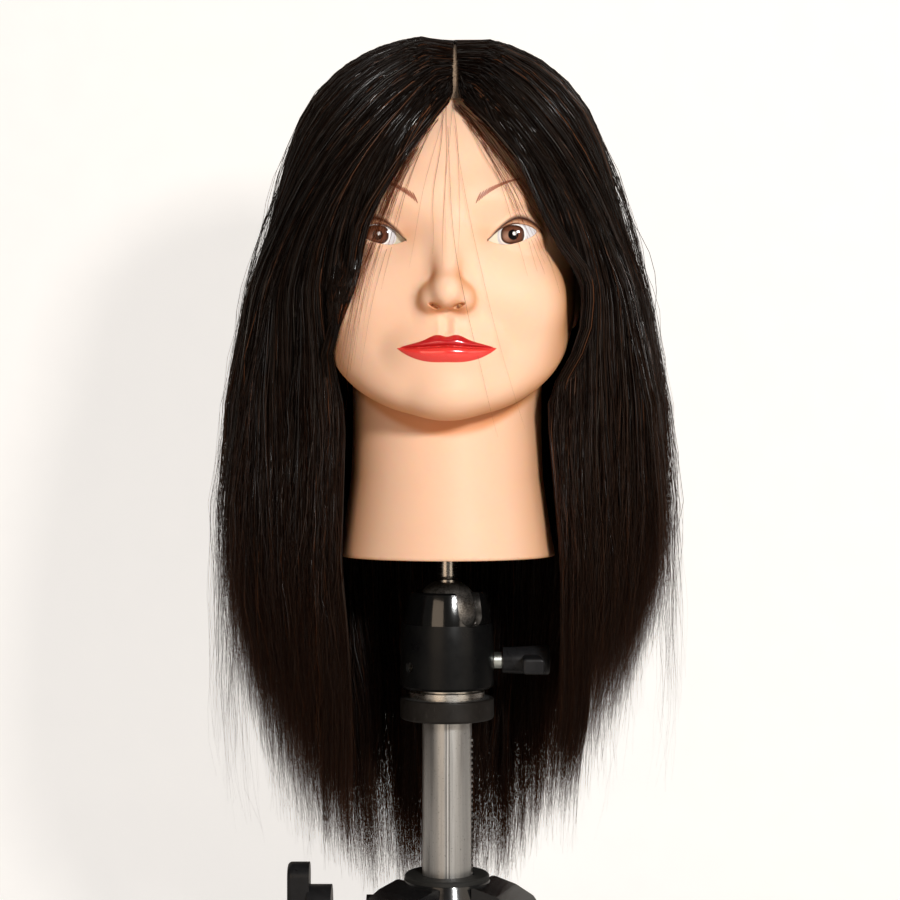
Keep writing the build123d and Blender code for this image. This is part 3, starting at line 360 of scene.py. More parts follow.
def neck_distance(x, y, z):
    wide, deep, mid = (np.interp(z, NECK_Z, values) for values in (NECK_WIDE, NECK_DEEP, NECK_Y))
    return (np.sqrt((x / wide) ** 2 + ((y - mid) / deep) ** 2) - 1) * NECK_MEAN_RADIUS


def head_distance(x, y, z):
    """Distance to the vinyl head and neck; negative inside."""
    ax = np.abs(x)
    d = ellipsoid(x, y, z, *CRANIUM)
    d = smooth_min(d, ellipsoid(x, y, z, *LOWER_FACE), 9)
    d = smooth_min(d, jaw_distance(ax, y, z), 6)
    d = smooth_min(d, ellipsoid(x, y, z, (0, -69, 320), (17, 18, 12)), 8)
    d = smooth_min(d, ellipsoid(ax, y, z, (35, -58, 366), (25, 22, 24)), 14)
    # neck, cut flat below
    d = smooth_min(d, np.maximum(neck_distance(x, y, z), z - NECK_Z[-1]), 4)
    d = smooth_max(d, NECK_BOTTOM - z, 1.2)
    # brow, eye sockets and the sides of the bridge
    d = smooth_min(d, ellipsoid(ax, y, z, (18, -72, 418), (20, 11, 9)), 12)
    d = smooth_max(d, -ellipsoid(ax, y, z, (32, -95, 400), (19, 14, 12)), 9)
    # nose
    d = smooth_min(d, tapered_capsule(x, y, z, (0, -78.8, 408), (0, -95.0, 373), 3.4, 5.2), 11)
    d = smooth_min(d, ellipsoid(x, y, z, (0, -95.6, 368.2), (7.4, 8.4, 7.6)), 7)
    d = smooth_min(d, ellipsoid(ax, y, z, (8.8, -87.4, 365.2), (5.0, 7.8, 6.0)), 7)
    lift = z - 361.7 - 0.32 * (ax - 5.9)
    nostril = ellipsoid(ax, y, lift, (6.0, -95.5, 0), (2.9, 4.2, 0.95))
    d = smooth_max(d, -nostril, 0.9)
    # mouth mound, with the fold under the lower lip
    d = smooth_min(d, ellipsoid(x, y, z, (0, -72.5, 343), (27, 16.5, 17)), 10)
    # ears
    ear = ellipsoid(ax, y, z, (69, 12, 385), (6, 15, 28))
    ear = smooth_max(ear, -ellipsoid(ax, y, z, (76, 9, 390), (5, 9, 17)), 2)
    d = smooth_min(d, ear, 3)
    # lids: a skin over the eye, with the almond cut through it to just below the eye's surface
    ball = ellipsoid(ax, y, z, EYE, EYE_SEMI)
    d = smooth_min(d, np.maximum(ball - 1.3, y - EYE[1] - 4), 3.5)
    upper, lower, _ = lid_curves(ax)
    opening = np.maximum(z - upper, lower - z)
    opening = np.maximum(opening, np.abs(ax - LID_CENTRE_X) - LID_HALF)
    opening = np.maximum(opening, -0.9 - ball)
    return smooth_max(d, -np.maximum(opening, y - EYE[1] - 3), 0.35)


def mouth_curves(x):
    """Heights of the lip line and the lips' top and bottom, and the share of the way in from a corner."""
    ax = np.abs(x)
    u = np.clip(ax / MOUTH_HALF, 0, 1)
    line = LIP_LINE_Z + 0.5 * np.cos(np.pi * u) * (1 - u) - 0.3 * u
    peaks = 1.2 * np.exp(-((ax - 6.2) / 4.2) ** 2) - 0.9 * np.exp(-((x / 2.6) ** 2))
    bow = 5.4 * (1 - u**1.15) ** 0.95 + peaks
    top = line + bow * smoothstep((1 - u) * 8)
    bottom = line - 8.2 * (1 - u**2.3) ** 0.9
    return line, top, bottom, 1 - u


def mouth_relief(x, z):
    """How far the lips stand out of the mouth mound, in mm, with a fold between them."""
    line, top, bottom, inward = mouth_curves(x)
    reach = inward**0.55
    upper = np.clip((z - line) / np.maximum(top - line, 0.3), 0, 1)
    lower = np.clip((line - z) / np.maximum(line - bottom, 0.3), 0, 1)
    upper_lip, lower_lip = np.sin(np.pi * upper**0.8) ** 0.7 * 2.2, np.sin(np.pi * lower**0.75) ** 0.7 * 3.0
    relief = np.where(z > line, upper_lip, lower_lip)
    inside = (z < top) & (z > bottom) & (inward > 0)
    fold = -1.7 * np.exp(-(((z - line) / 0.75) ** 2)) * smoothstep(inward * 6)
    edge = 0.2 * np.exp(-(((z - top - 0.6) / 1.2) ** 2)) * smoothstep(inward * 6)
    return np.where(inside, relief * reach, 0) + fold + edge


def face_relief(x, z):
    """The small forms that aren't in the distance field: lips, philtrum, lid fold."""
    ax = np.abs(x)
    groove = -0.9 * np.exp(-((x / 2.2) ** 2)) + 0.5 * np.exp(-(((ax - 4.2) / 1.8) ** 2))
    philtrum = groove * smoothstep((358.5 - z) / 4) * smoothstep((z - 346) / 3)
    crease, strength = lid_crease(ax)
    fold = -0.9 * np.exp(-(((z - crease) / 0.8) ** 2)) * strength
    return mouth_relief(x, z) + philtrum + fold


def head_surface():
    """The head's closed surface as (vertices, polygons) in mm, finer over the face than behind."""
    step = 1.5
    low, high = np.array([-80.0, -112.0, 229.0]), np.array([80.0, 108.0, 511.0])
    axes = [np.arange(a, b, step, dtype=np.float32) for a, b in zip(low, high)]
    field = np.empty([len(a) for a in axes], np.float32)
    yy, zz = np.meshgrid(axes[1], axes[2], indexing="ij")
    for i, x in enumerate(axes[0]):
        field[i] = head_distance(np.full_like(yy, x), yy, zz)
    band = 3 * step
    grid = openvdb.FloatGrid(band)
    grid.copyFromArray(np.clip(field, -band, band))
    points, quads = grid.convertToQuads(0.0)
    points = points * step + low
    build = bmesh.new()
    made = [build.verts.new(p) for p in points]
    for quad in quads:
        build.faces.new([made[i] for i in quad])
    regions = (
        lambda p: p.y < -38 and abs(p.x) < 68 and 298 < p.z < 436,
        lambda p: p.y < -60 and abs(p.x) < 52 and 328 < p.z < 412,
        lambda p: (p.y < -66 and abs(p.x) < 29 and 330 < p.z < 374)
        or (p.y < -62 and 16 < abs(p.x) < 50 and 390 < p.z < 411),
    )
    for region in regions:
        inside = {v for v in build.verts if region(v.co)}
        edges = [e for e in build.edges if e.verts[0] in inside and e.verts[1] in inside]
        bmesh.ops.subdivide_edges(build, edges=edges, cuts=1, use_grid_fill=True)
    build.verts.ensure_lookup_table()
    build.verts.index_update()
    points = np.array([v.co for v in build.verts], np.float32)
    polygons = [[v.index for v in f.verts] for f in build.faces]
    build.free()
    return settle(points), polygons


def settle(points):
    """Moves points onto the head's surface along its gradient."""
    e = 0.04
    for _ in range(3):
        x, y, z = points.T
        d = head_distance(x, y, z)
        g = np.stack([
            head_distance(x + e, y, z) - d, head_distance(x, y + e, z) - d, head_distance(x, y, z + e) - d,
        ], 1) / e
        step = -d[:, None] * g / np.maximum((g * g).sum(1, keepdims=True), 0.25)
        points = points + np.clip(step, -1.2, 1.2)
    return points


def skin_material():
    """Satin vinyl with painted shade: orange where seen at a slant and under the nose and jaw; with the
    painted lips and lids, an orange tint at the eyes' inner corners and dark lines at the lid folds and
    edges.
    """
    g = Graph("vinyl_skin")
    broad = g.noise(14, 3, 0.5)
    base = g.mix(g.grey(broad, 0, 1), (0.93, 0.58, 0.4), (0.96, 0.615, 0.43))
    # painted shade: the colour turns orange where the surface is seen at a slant
    slant = g.node("ShaderNodeLayerWeight", {"Blend": 0.5}).outputs["Facing"]
    base = g.mix(g.grey(slant, 0, 0.85, 0.22, 0.9), base, (0.8, 0.34, 0.12))
    # painted shade under the nose and jaw, and an orange tint at the eyes' inner corners
    base = g.mix(g.attribute("painted_shade_and_tint"), base, (0.66, 0.25, 0.08))
    base = g.mix(g.attribute("lid"), base, (0.5, 0.21, 0.09))
    # dark lines at the lid folds and edges
    base = g.mix(g.attribute("lid_dark_lines"), base, (0.05, 0.013, 0.007))
    lips = g.attribute("lips")
    red = g.mix(g.attribute("upper_lip"), (0.88, 0.05, 0.04), (0.55, 0.014, 0.018))
    g.set(Base_Color=g.mix(lips, base, red))
    fine = g.noise(1600, 2, 0.5)
    g.set(Roughness=g.between(lips, g.grey(fine, 0.46, 0.56), 0.14))
    g.set(Specular_IOR_Level=g.between(lips, 0.3, 0.6))
    g.set(Subsurface_Weight=0.3, Subsurface_Radius=(1.0, 0.3, 0.1), Subsurface_Scale=0.003)
    g.set(Normal=g.bump(fine, 0.05, 0.0002), Coat_Weight=g.math("MULTIPLY", lips, 0.7), Coat_Roughness=0.05)
    return g.material


def make_head():
    points, polygons = head_surface()
    x, y, z = points.T
    front = smoothstep((-62 - y) / 8)
    points[:, 1] -= face_relief(x, z) * front
    head = mesh_object("vinyl_head", points, polygons)
    ax = np.abs(x)
    line, top, bottom, inward = mouth_curves(x)
    soft = 0.22
    lips = smoothstep((top - z) / soft * 0.5 + 0.5) * smoothstep((z - bottom) / soft * 0.5 + 0.5)
    lips = lips * (inward > 0.002) * front
    point_attribute(head, "lips", lips)
    point_attribute(head, "upper_lip", smoothstep((z - line + 0.5) / 1.0))
    upper, _, u = lid_curves(ax)
    crease, strength = lid_crease(ax)
    between = smoothstep((crease - z) / 1.2) * smoothstep((z - upper + 0.6) / 0.8)
    near_eye = front * (ax > 19) * (ax < 52)
    point_attribute(head, "lid", 0.75 * between * near_eye * strength)
    # a dark band along the lid fold, wider outwards, and a line along the upper lid's edge
    thick = 0.6 + 1.3 * np.clip((ax - 24) / 20, 0, 1)
    band = np.exp(-(((z - crease + 0.3) / thick) ** 2)) * strength
    on_lid = (np.abs(ax - LID_CENTRE_X) < LID_HALF) * (u < 0.3)
    rim = smoothstep((1.0 - np.abs(z - upper)) / 0.8) * on_lid * 0.8
    point_attribute(head, "lid_dark_lines", np.clip(np.maximum(band, rim) * near_eye, 0, 1))
    # painted shade under the nose
    under_nose = np.exp(-(((z - 361) / 3.0) ** 2) - ((ax - 6) / 4.0) ** 2) * smoothstep((-84 - y) / 4)
    # an orange tint at the eyes' inner corners
    socket = np.exp(-(((ax - 20) / 6.0) ** 2) - ((z - 399) / 6.0) ** 2) * 0.35 * front
    # painted shadow: a crescent on the neck under the jaw
    on_neck = smoothstep((3 - neck_distance(x, y, z)) / 2) * (z < 345) * (y < 0)
    jaw = smoothstep((z - 295 - 20 * (x / 45) ** 2) / 5) * on_neck * 0.8
    point_attribute(head, "painted_shade_and_tint", np.clip(0.8 * under_nose + socket + jaw, 0, 1))
    head.data.materials.append(skin_material())
    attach(head, "head")
    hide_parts("head_shell")
    return head


make_head()


# ------------------------------ the eyes
IRIS_HALF = (5.9, 4.8)


def eye_material(side):
    """A painted iris on the eye's front, drawn by distance from the line of sight."""
    g = Graph("eye_left_paint" if side < 0 else "eye_right_paint")
    parts = g.node("ShaderNodeSeparateXYZ", {"Vector": g.coords()})
    sight = ((33.3 if side > 0 else -35.4) * MM, 399.2 * MM)

    def away(dx, dz):
        a = g.math("SUBTRACT", parts.outputs["X"], sight[0] + dx * MM)
        b = g.math("SUBTRACT", parts.outputs["Z"], sight[1] + dz * MM)
        squares = g.math("ADD", g.math("POWER", a, 2.0), g.math("POWER", b, 2.0))
        return g.math("MULTIPLY", g.math("SQRT", squares), 1 / MM)

    def disc(distance, radius, soft):
        return g.grey(distance, 1, 0, radius - soft, radius + soft)

    across = g.math("ABSOLUTE", g.math("SUBTRACT", parts.outputs["X"], sight[0]))
    upright = g.math("ABSOLUTE", g.math("SUBTRACT", parts.outputs["Z"], sight[1]))
    # a little wider than tall and squarer than a circle; 1 at the iris's edge
    square = g.math("ADD", g.math("POWER", g.math("MULTIPLY", across, 1 / MM / IRIS_HALF[0]), 2.5),
                    g.math("POWER", g.math("MULTIPLY", upright, 1 / MM / IRIS_HALF[1]), 2.5))
    white = g.mix(g.grey(g.noise(60, 3), 0, 1), (0.66, 0.66, 0.7), (0.74, 0.74, 0.78))
    streaks = g.noise(500, 4, 0.7)
    iris = g.mix(g.grey(square, 0, 1, 0.35, 0.85), (0.13, 0.045, 0.025), (0.018, 0.005, 0.003))
    iris = g.mix(g.grey(streaks, 0, 0.3), iris, (0.2, 0.08, 0.045))
    glow = g.math("MULTIPLY", disc(away(-2.6, -1.3), 2.0, 1.3), g.grey(square, 1, 0, 0.55, 0.8))
    iris = g.mix(g.math("MULTIPLY", glow, 0.75), iris, (0.42, 0.22, 0.15))
    rim = g.grey(square, 0, 1, 0.96, 1.1)
    ring = g.math("MULTIPLY", rim, g.grey(square, 1, 0, 1.3, 1.5))
    white = g.mix(ring, white, (0.92, 0.9, 0.9))
    colour = g.mix(rim, iris, white)
    colour = g.mix(disc(away(0.3, -0.1), 2.6, 0.12), colour, (0.004, 0.003, 0.003))
    colour = g.mix(disc(away(0.95, 0.5), 0.95, 0.2), colour, (1.0, 1.0, 1.0))
    g.set(Base_Color=colour, Roughness=g.grey(g.noise(200, 3), 0.06, 0.1), Specular_IOR_Level=0.4)
    g.set(Normal=g.bump(g.noise(90, 2), 0.02, 0.0002))
    return g.material


def eye_dome(side):
    """The visible front of an eye as a finely divided dome, a little proud of the CAD eye's back half."""
    rows, cols = 40, 72
    vertices, faces = [], []
    for i in range(rows + 1):
        a = i / rows * math.radians(100)
        for j in range(cols):
            b = j / cols * 2 * math.pi
            vertices.append((
                side * EYE[0] + (EYE_SEMI[0] + 0.8 * math.sin(a)) * math.sin(a) * math.cos(b),
                EYE[1] - EYE_SEMI[1] * math.cos(a),
                EYE[2] + EYE_SEMI[2] * math.sin(a) * math.sin(b),
            ))
    for i in range(rows):
        for j in range(cols):
            k = (j + 1) % cols
            faces.append((i * cols + j, i * cols + k, (i + 1) * cols + k, (i + 1) * cols + j))
    faces.append([rows * cols + j for j in range(cols)])
    return vertices, faces


for side, node in ((-1, "eye_left"), (1, "eye_right")):
    eye = mesh_object(f"{node}_dome", *eye_dome(side))
    eye.data.materials.append(eye_material(side))
    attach(eye, "head")
    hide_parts(node)


# ------------------------------ the printed brows
def on_face(x, z):
    """The y of the face's surface in front of (x, z)."""
    y = np.full_like(x, -112.0)
    for _ in range(40):
        y = y + head_distance(x, y, z)
    return y


def make_brow(side):
    """Slanted strokes, tall by the nose and closing to a line at the outer end."""
    count, segments = 15, 6
    t = np.linspace(0, 1, count)[:, None]
    centre_x, centre_z = 15.9 + 20.6 * t, 416.6 + 15.2 * t - 4.2 * t * t
    length = 4.2 * (1 - t) ** 0.6 + 2.3
    slope = np.radians(66 - 36 * t)
    s = np.linspace(-0.5, 0.5, segments + 1)[None, :]
    half = 0.4 * np.sqrt(np.maximum(1 - (2.02 * s) ** 2, 0.03))
    sign = np.array([-1.0, 1.0])[None, None, :]
    x = (centre_x + s * length * np.cos(slope))[:, :, None] + sign * (half * np.sin(slope))[:, :, None]
    z = (centre_z + s * length * np.sin(slope))[:, :, None] - sign * (half * np.cos(slope))[:, :, None]
    y = on_face(x, z) - 0.2
    vertices = np.stack([side * x, y, z], 3).reshape(-1, 3)
    faces = []
    for i in range(count):
        for j in range(segments):
            k = 2 * (i * (segments + 1) + j)
            faces.append((k, k + 1, k + 3, k + 2) if side > 0 else (k, k + 2, k + 3, k + 1))
    brow = mesh_object("brow_left" if side < 0 else "brow_right", vertices, faces)
    brow.data.materials.append(BROW_INK)
    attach(brow, "head")


BROW_INK = plastic("brow_ink", (0.42, 0.15, 0.085), 0.5)
make_brow(-1)
make_brow(1)


# ------------------------------ strands
def ribbons(paths, widths, outward, roll):
    """Flat strips along paths (n, m, 3): vertices (n, m, 2, 3) and the unit vector across each strip."""
    along = np.gradient(paths, axis=1)
    along /= np.linalg.norm(along, axis=2, keepdims=True) + 1e-9
    across = np.cross(along, outward)
    across /= np.linalg.norm(across, axis=2, keepdims=True) + 1e-9
    third = np.cross(across, along)
    turn = roll[:, None, None]
    across = across * np.cos(turn) + third * np.sin(turn)
    half = across * widths[:, :, None] / 2
    return np.stack([paths - half, paths + half], 2), np.stack([-across, across], 2)


def strand_mesh(name, strips, across, tint, along, material):
    """One mesh of many strips, with a tint per strand and a place along it for the material."""
    n, m = strips.shape[:2]
    mesh = bpy.data.meshes.new(name)
    vertices = strips.reshape(-1, 3) * MM
    base = np.arange(n)[:, None] * m * 2 + np.arange(m - 1)[None, :] * 2
    quads = np.stack([base, base + 1, base + 3, base + 2], 2).reshape(-1, 4)
    mesh.vertices.add(len(vertices))
    mesh.vertices.foreach_set("co", vertices.astype(np.float32).ravel())
    mesh.loops.add(quads.size)
    mesh.loops.foreach_set("vertex_index", quads.astype(np.int32).ravel())
    mesh.polygons.add(len(quads))
    mesh.polygons.foreach_set("loop_start", np.arange(len(quads), dtype=np.int32) * 4)
    mesh.polygons.foreach_set("use_smooth", np.ones(len(quads), bool))
    column = np.floor(tint * 255.999) / 256
    u = np.repeat(column[:, None], m, 1)[:, :, None] + np.array([0.2, 0.8]) / 256
    v = np.repeat(np.clip(along, 0.002, 0.998)[:, :, None], 2, 2)
    uv = np.stack([u, v], 3).reshape(-1, 2)[quads.ravel()]
    layer = mesh.uv_layers.new(name="OFBake")
    layer.data.foreach_set("uv", uv.astype(np.float32).ravel())
    mesh.update(calc_edges=True)
    mesh.validate()
    obj = add_object(name, mesh)
    point_attribute(obj, "tint", np.repeat(column, m * 2))
    point_attribute(obj, "along", np.repeat(along.reshape(-1), 2))
    bulge = mesh.attributes.new("bulge", "FLOAT_VECTOR", "POINT")
    bulge.data.foreach_set("vector", across.astype(np.float32).ravel())
    mesh.materials.append(material)
    return obj


END_BRIGHTER = 3.6


def hair_material(name, dark, light, red):
    """Near-black brown hair, redder and lighter on some strands, and painted lighter and browner towards the
    ends for the light passing through them.

    The normal turns across each strip, so that a flat strip shades like a round hair.
    """
    g = Graph(name)
    tint, along = g.attribute("tint"), g.attribute("along")
    lighter = g.math("MULTIPLY", g.math("POWER", tint, 2.0), g.grey(along, 0.22, 1.0, 0.1, 0.85))
    # painted light: the ends are made browner for the light passing through the thin hair
    browner = tuple(END_BRIGHTER * c for c in dark)
    colour = g.mix(lighter, g.mix(g.grey(along, 0, 1, 0.45, 1.0), dark, browner), light)
    colour = g.mix(g.grey(tint, 0, 1, 0.965, 0.975), colour, red)
    g.set(Base_Color=colour, Roughness=g.grey(tint, 0.24, 0.42, 0, 1))
    slant = g.node("ShaderNodeLayerWeight", {"Blend": 0.5}).outputs["Facing"]
    shine = g.grey(g.math("FRACT", g.math("MULTIPLY", tint, 37.0)), 0.06, 0.9, 0.35, 1.0)
    shine = g.math("MULTIPLY", shine, g.grey(along, 1, 0.3, 0.55, 0.9))
    g.set(Specular_IOR_Level=g.math("MULTIPLY", shine, g.grey(slant, 1, 0.1, 0.5, 0.95)))
    across = g.node("ShaderNodeAttribute", attribute_name="bulge").outputs["Vector"]
    turned = g.node("ShaderNodeVectorTransform", {"Vector": across}, vector_type="NORMAL",
                    convert_from="OBJECT", convert_to="WORLD").outputs[0]
    scaled = g.node("ShaderNodeVectorMath", {0: turned, "Scale": 1.1}, operation="SCALE").outputs[0]
    facing = g.node("ShaderNodeNewGeometry").outputs["Normal"]
    summed = g.node("ShaderNodeVectorMath", {0: facing, 1: scaled}, operation="ADD").outputs[0]
    normal = g.node("ShaderNodeVectorMath", {0: summed}, operation="NORMALIZE").outputs[0]
    g.set(Normal=normal)
    # the ends let some light through
    thin = g.node("ShaderNodeBsdfTranslucent", {"Color": (0.22, 0.075, 0.03, 1)})
    g.cover(g.grey(along, 0.1, 0.34, 0.45, 1.0), thin)
    return g.material


DARK, BROWN, RED = (0.0045, 0.0028, 0.0021), (0.062, 0.034, 0.022), (0.16, 0.06, 0.026)
HAIR = hair_material("dark_brown_hair", DARK, BROWN, RED)
WISP_HAIR = hair_material("thin_red_hair", (0.09, 0.022, 0.008), (0.34, 0.12, 0.05), (0.45, 0.17, 0.08))
HAIR_WIDTH, STRAY_WIDTH, WISP_WIDTH = 0.44, 0.3, 0.16

# the fall's outline, against height: half width, half depth and the hollow inside it
FALL_Z = (30, 70, 100, 130, 165, 212, 262, 317, 372, 412, 427, 470)
FALL_WIDE = (104, 112, 118, 121, 123, 124, 124, 121, 112, 103, 99, 86)
FALL_DEEP = (82, 90, 96, 101, 105, 108, 109, 109, 108, 107, 106, 104)
# how low the tips hang, against how far out they are, on the left and right side
TIP_X = (0, 35, 50, 65, 80, 95, 105, 115, 127)
TIP_LEFT = (30, 30, 32, 38, 50, 66, 80, 96, 112)
TIP_RIGHT = (30, 34, 46, 64, 82, 98, 112, 128, 150)
HOLLOW_Z = (40, 232, 262, 300, 340, 372, 412, 470)
HOLLOW_WIDE = (61, 62, 61, 61, 68, 78, 76, 76)
HOLLOW_DEEP = (46, 48, 46, 46, 66, 86, 97, 97)
# the curtains' inner edges seen from the front, as |x| against height, for the left and right side
EDGE_Z = (40, 120, 150, 190, 232, 300, 320, 335, 350, 367, 379, 394, 408, 418, 436, 458, 467, 520)
EDGE_LEFT = (50, 50, 50, 52, 56, 54, 55, 60, 56, 48, 44, 42, 38, 32, 21, 4, -3, -4)
EDGE_RIGHT = (50, 54, 59, 60, 60, 54, 53, 63, 69, 70, 69, 57, 49, 44, 36, 17, 6, 4)
FRONT_ANGLE = 40.0


def part_direction(y_mm, side, gap):
    """Unit direction, in the cranium's own stretched space, of a point beside the parting."""
    (_, cy, _), (sx, sy, _) = CRANIUM
    dx = (PARTING_X + side * gap) / sx
    dy = (y_mm - cy) / sy
    return np.stack([dx, dy, np.sqrt(np.maximum(1 - dx * dx - dy * dy, 0.01))], 1)


def slerp(a, b, t):
    dot = np.clip((a * b).sum(1), -1, 1)
    angle = np.arccos(dot)[:, None]
    wa, wb = np.sin((1 - t) * angle) / np.sin(angle), np.sin(t * angle) / np.sin(angle)
    return wa[:, :, None] * a[:, None, :] + wb[:, :, None] * b[:, None, :]


def hang(angle, layer, z, side):
    """Where a strand at an angle round from the front hangs, at height z: returns x, y in mm."""
    wide, deep = np.interp(z, FALL_Z, FALL_WIDE), np.interp(z, FALL_Z, FALL_DEEP)
    in_wide, in_deep = np.interp(z, HOLLOW_Z, HOLLOW_WIDE), np.interp(z, HOLLOW_Z, HOLLOW_DEEP)
    out = layer * smoothstep((np.degrees(angle) - FRONT_ANGLE + 8) / 34)
    w, d = in_wide + (wide - in_wide) * out, in_deep + (deep - in_deep) * out
    return side * w * np.sin(angle), 8 - d * np.cos(angle)


def strand_paths(n, side, low_deg, high_deg, drop=4):
    """Paths (n, m, 3) of strands that leave the parting, lie over the head and hang, and where they split."""
    # locks, each at its own angle round from the front and its own depth, 0 inside to 1 outside
    locks = max(30, n // 55)
    lock = rng.integers(0, locks, n)
    lock_angle = np.sort(rng.uniform(low_deg, high_deg, locks))
    spread = rng.normal(0, 0.55 * (high_deg - low_deg) / locks + 0.9, n)
    degrees = np.clip(lock_angle[lock] + spread, low_deg - 1, high_deg + 1)
    lock_layer = rng.uniform(0, 1, locks)
    mixed = 0.55 * rng.uniform(0, 1, n) + 0.45 * lock_layer[lock]
    layer = 0.25 + 0.75 * mixed**0.6
    # roots, beside the parting from front to back, and a few that cross it
    share = np.clip((degrees - 48) / 132, 0, 1)
    y_part = -66 + 128 * share + rng.normal(0, 3, n)
    front = smoothstep((-20 - y_part) / 48)
    gap = 1.7 + 4.0 * rng.random(n) ** 1.2 + 4.0 * front**3 * rng.random(n)
    crossing = rng.random(n) < 0.13
    gap = np.where(crossing, rng.uniform(-3.2, 1.5, n), gap)
    y_part = np.clip(y_part, -66.5, 70)
    start = part_direction(y_part, side, gap)
    # over the crown, to just below the head's widest
    angle = np.radians(degrees)
    polar = np.radians(116)
    end = np.stack([side * np.sin(angle) * np.sin(polar), -np.cos(angle) * np.sin(polar),
                    np.full(n, np.cos(polar))], 1)
    root = np.where(layer > 0.86, rng.uniform(0, 0.04, n), rng.uniform(0, 0.75, n) * (1.05 - layer))
    root = np.where(crossing, 0, root)
    over = 12
    t = root[:, None] + (1 - root[:, None]) * np.linspace(0, 1, over)[None, :] ** 0.9
    directions = slerp(start, end, t)
    start_rise = 0.12 + 0.4 * smoothstep((y_part[:, None] + 40) / 40)
    rise = (start_rise + (1 - start_rise) * smoothstep((t - root[:, None]) / 0.12)) * layer[:, None]
    (_, cy, cz), (sx, sy, sz) = CRANIUM
    square = (np.abs(directions) ** 2.4).sum(2) ** (-1 / 2.4)
    swell = 1 + (square - 1) * rise
    x = directions[:, :, 0] * (sx + 1.9 + 17 * rise) * swell
    y = cy + directions[:, :, 1] * (sy + 1.9 + 8 * rise) * swell
    z = cz + directions[:, :, 2] * (sz + 1.8 + 3.4 * rise) * (1 + (swell - 1) * 0.6)
    # straight down to the split, and on to the tips
    low = z[:, -1]
    steps = np.linspace(0, 1, drop + 1)[1:]
    z = np.concatenate([z, low[:, None] + (HAIR_SPLIT_Z - low[:, None]) * steps[None, :]], 1)
    x = np.concatenate([x, np.repeat(x[:, -1:], drop, 1)], 1)
    y = np.concatenate([y, np.repeat(y[:, -1:], drop, 1)], 1)
    below = 8
    out_x = np.abs(hang(angle, layer, np.full(n, 140.0), side)[0])
    end_z = tip_height(out_x, degrees, side, lock_layer[lock], n)
    s = np.linspace(0, 1, below + 1)[1:]
    z = np.concatenate([z, HAIR_SPLIT_Z + (end_z[:, None] - HAIR_SPLIT_Z) * s[None, :]], 1)
    x = np.concatenate([x, np.repeat(x[:, -1:], below, 1)], 1)
    y = np.concatenate([y, np.repeat(y[:, -1:], below, 1)], 1)
    split = over + drop - 1
    # the fall: locks sway, lean and gather towards their tips
    fall = np.clip((430 - z) / 330, 0, 1)
    phase = rng.uniform(0, 2 * np.pi, locks)[lock][:, None]
    sway = rng.normal(0, 1.6, locks)[lock][:, None] * np.sin(z / 62 + phase) * fall
    lean = rng.normal(0, 3.0, locks)[lock][:, None] * fall**1.5
    gather = 0.85 * smoothstep((240 - z) / 110) * rng.random(locks)[lock][:, None] ** 0.4
    scatter = rng.normal(0, 2.8, n)[:, None] * fall
    off_lock = (degrees - lock_angle[lock])[:, None] + scatter
    turned = np.radians(degrees[:, None] + scatter - off_lock * gather + sway + lean)
    bob = rng.normal(0, 0.03, locks)[lock][:, None] * np.sin(z / 45 + 2 * phase)
    depth = layer[:, None] + (lock_layer[lock][:, None] * 0.75 + 0.1 - layer[:, None]) * gather
    hx, hy = hang(turned, np.clip(depth + bob * fall * 2, 0.02, 1.03), z, side)
    weight = smoothstep((468 - z) / 105)
    x, y = x + (hx - x) * weight, y + (hy - y) * weight
    fuzz = rng.normal(0, 1, (n, 1)) * np.sin(z / 23 + rng.uniform(0, 6, (n, 1))) * 1.9 * fall
    frizz = rng.normal(0, 0.8, (2, n, z.shape[1])) * np.clip((330 - z) / 120, 0, 1)
    x, y = x + fuzz + frizz[0], y + np.roll(fuzz, 1, 0) + frizz[1]
    # in front, no strand comes further in than the curtain's edge
    edge = np.interp(z, EDGE_Z, EDGE_RIGHT if side > 0 else EDGE_LEFT)
    loose = 1.0 + 1.8 * np.clip((460 - z) / 60, 0, 1) + 4.0 * np.clip((330 - z) / 90, 0, 1)
    slack = 2.4 * rng.random((n, 1)) * loose
    ahead = smoothstep((6 - y) / 30)
    push = np.maximum(edge + slack - side * x, 0) * ahead
    x = x + side * push
    paths = np.stack([x, y, z], 2)
    for _ in range(2):
        paths = keep_off_head(paths)
    x = paths[:, :, 0]
    ahead = smoothstep((6 - paths[:, :, 1]) / 30)
    paths[:, :, 0] = x + side * np.maximum(edge + slack - side * x, 0) * ahead
    return paths, split


FRONT_STEP = 1.5
FRONT_X, FRONT_Z = np.arange(-81, 81.1, FRONT_STEP), np.arange(303, 500, FRONT_STEP)
FRONT_Y = np.minimum(on_face(*np.meshgrid(FRONT_X, FRONT_Z, indexing="ij")), 12)


def face_front(x, z):
    """The y of the head's front at (x, z), read quickly from a grid; 12 where there is nothing in front."""
    a = np.clip((x - FRONT_X[0]) / FRONT_STEP, 0, len(FRONT_X) - 1.001)
    b = np.clip((z - FRONT_Z[0]) / FRONT_STEP, 0, len(FRONT_Z) - 1.001)
    i, j = a.astype(int), b.astype(int)
    a, b = a - i, b - j
    low = FRONT_Y[i, j] * (1 - b) + FRONT_Y[i, j + 1] * b
    high = FRONT_Y[i + 1, j] * (1 - b) + FRONT_Y[i + 1, j + 1] * b
    return low * (1 - a) + high * a


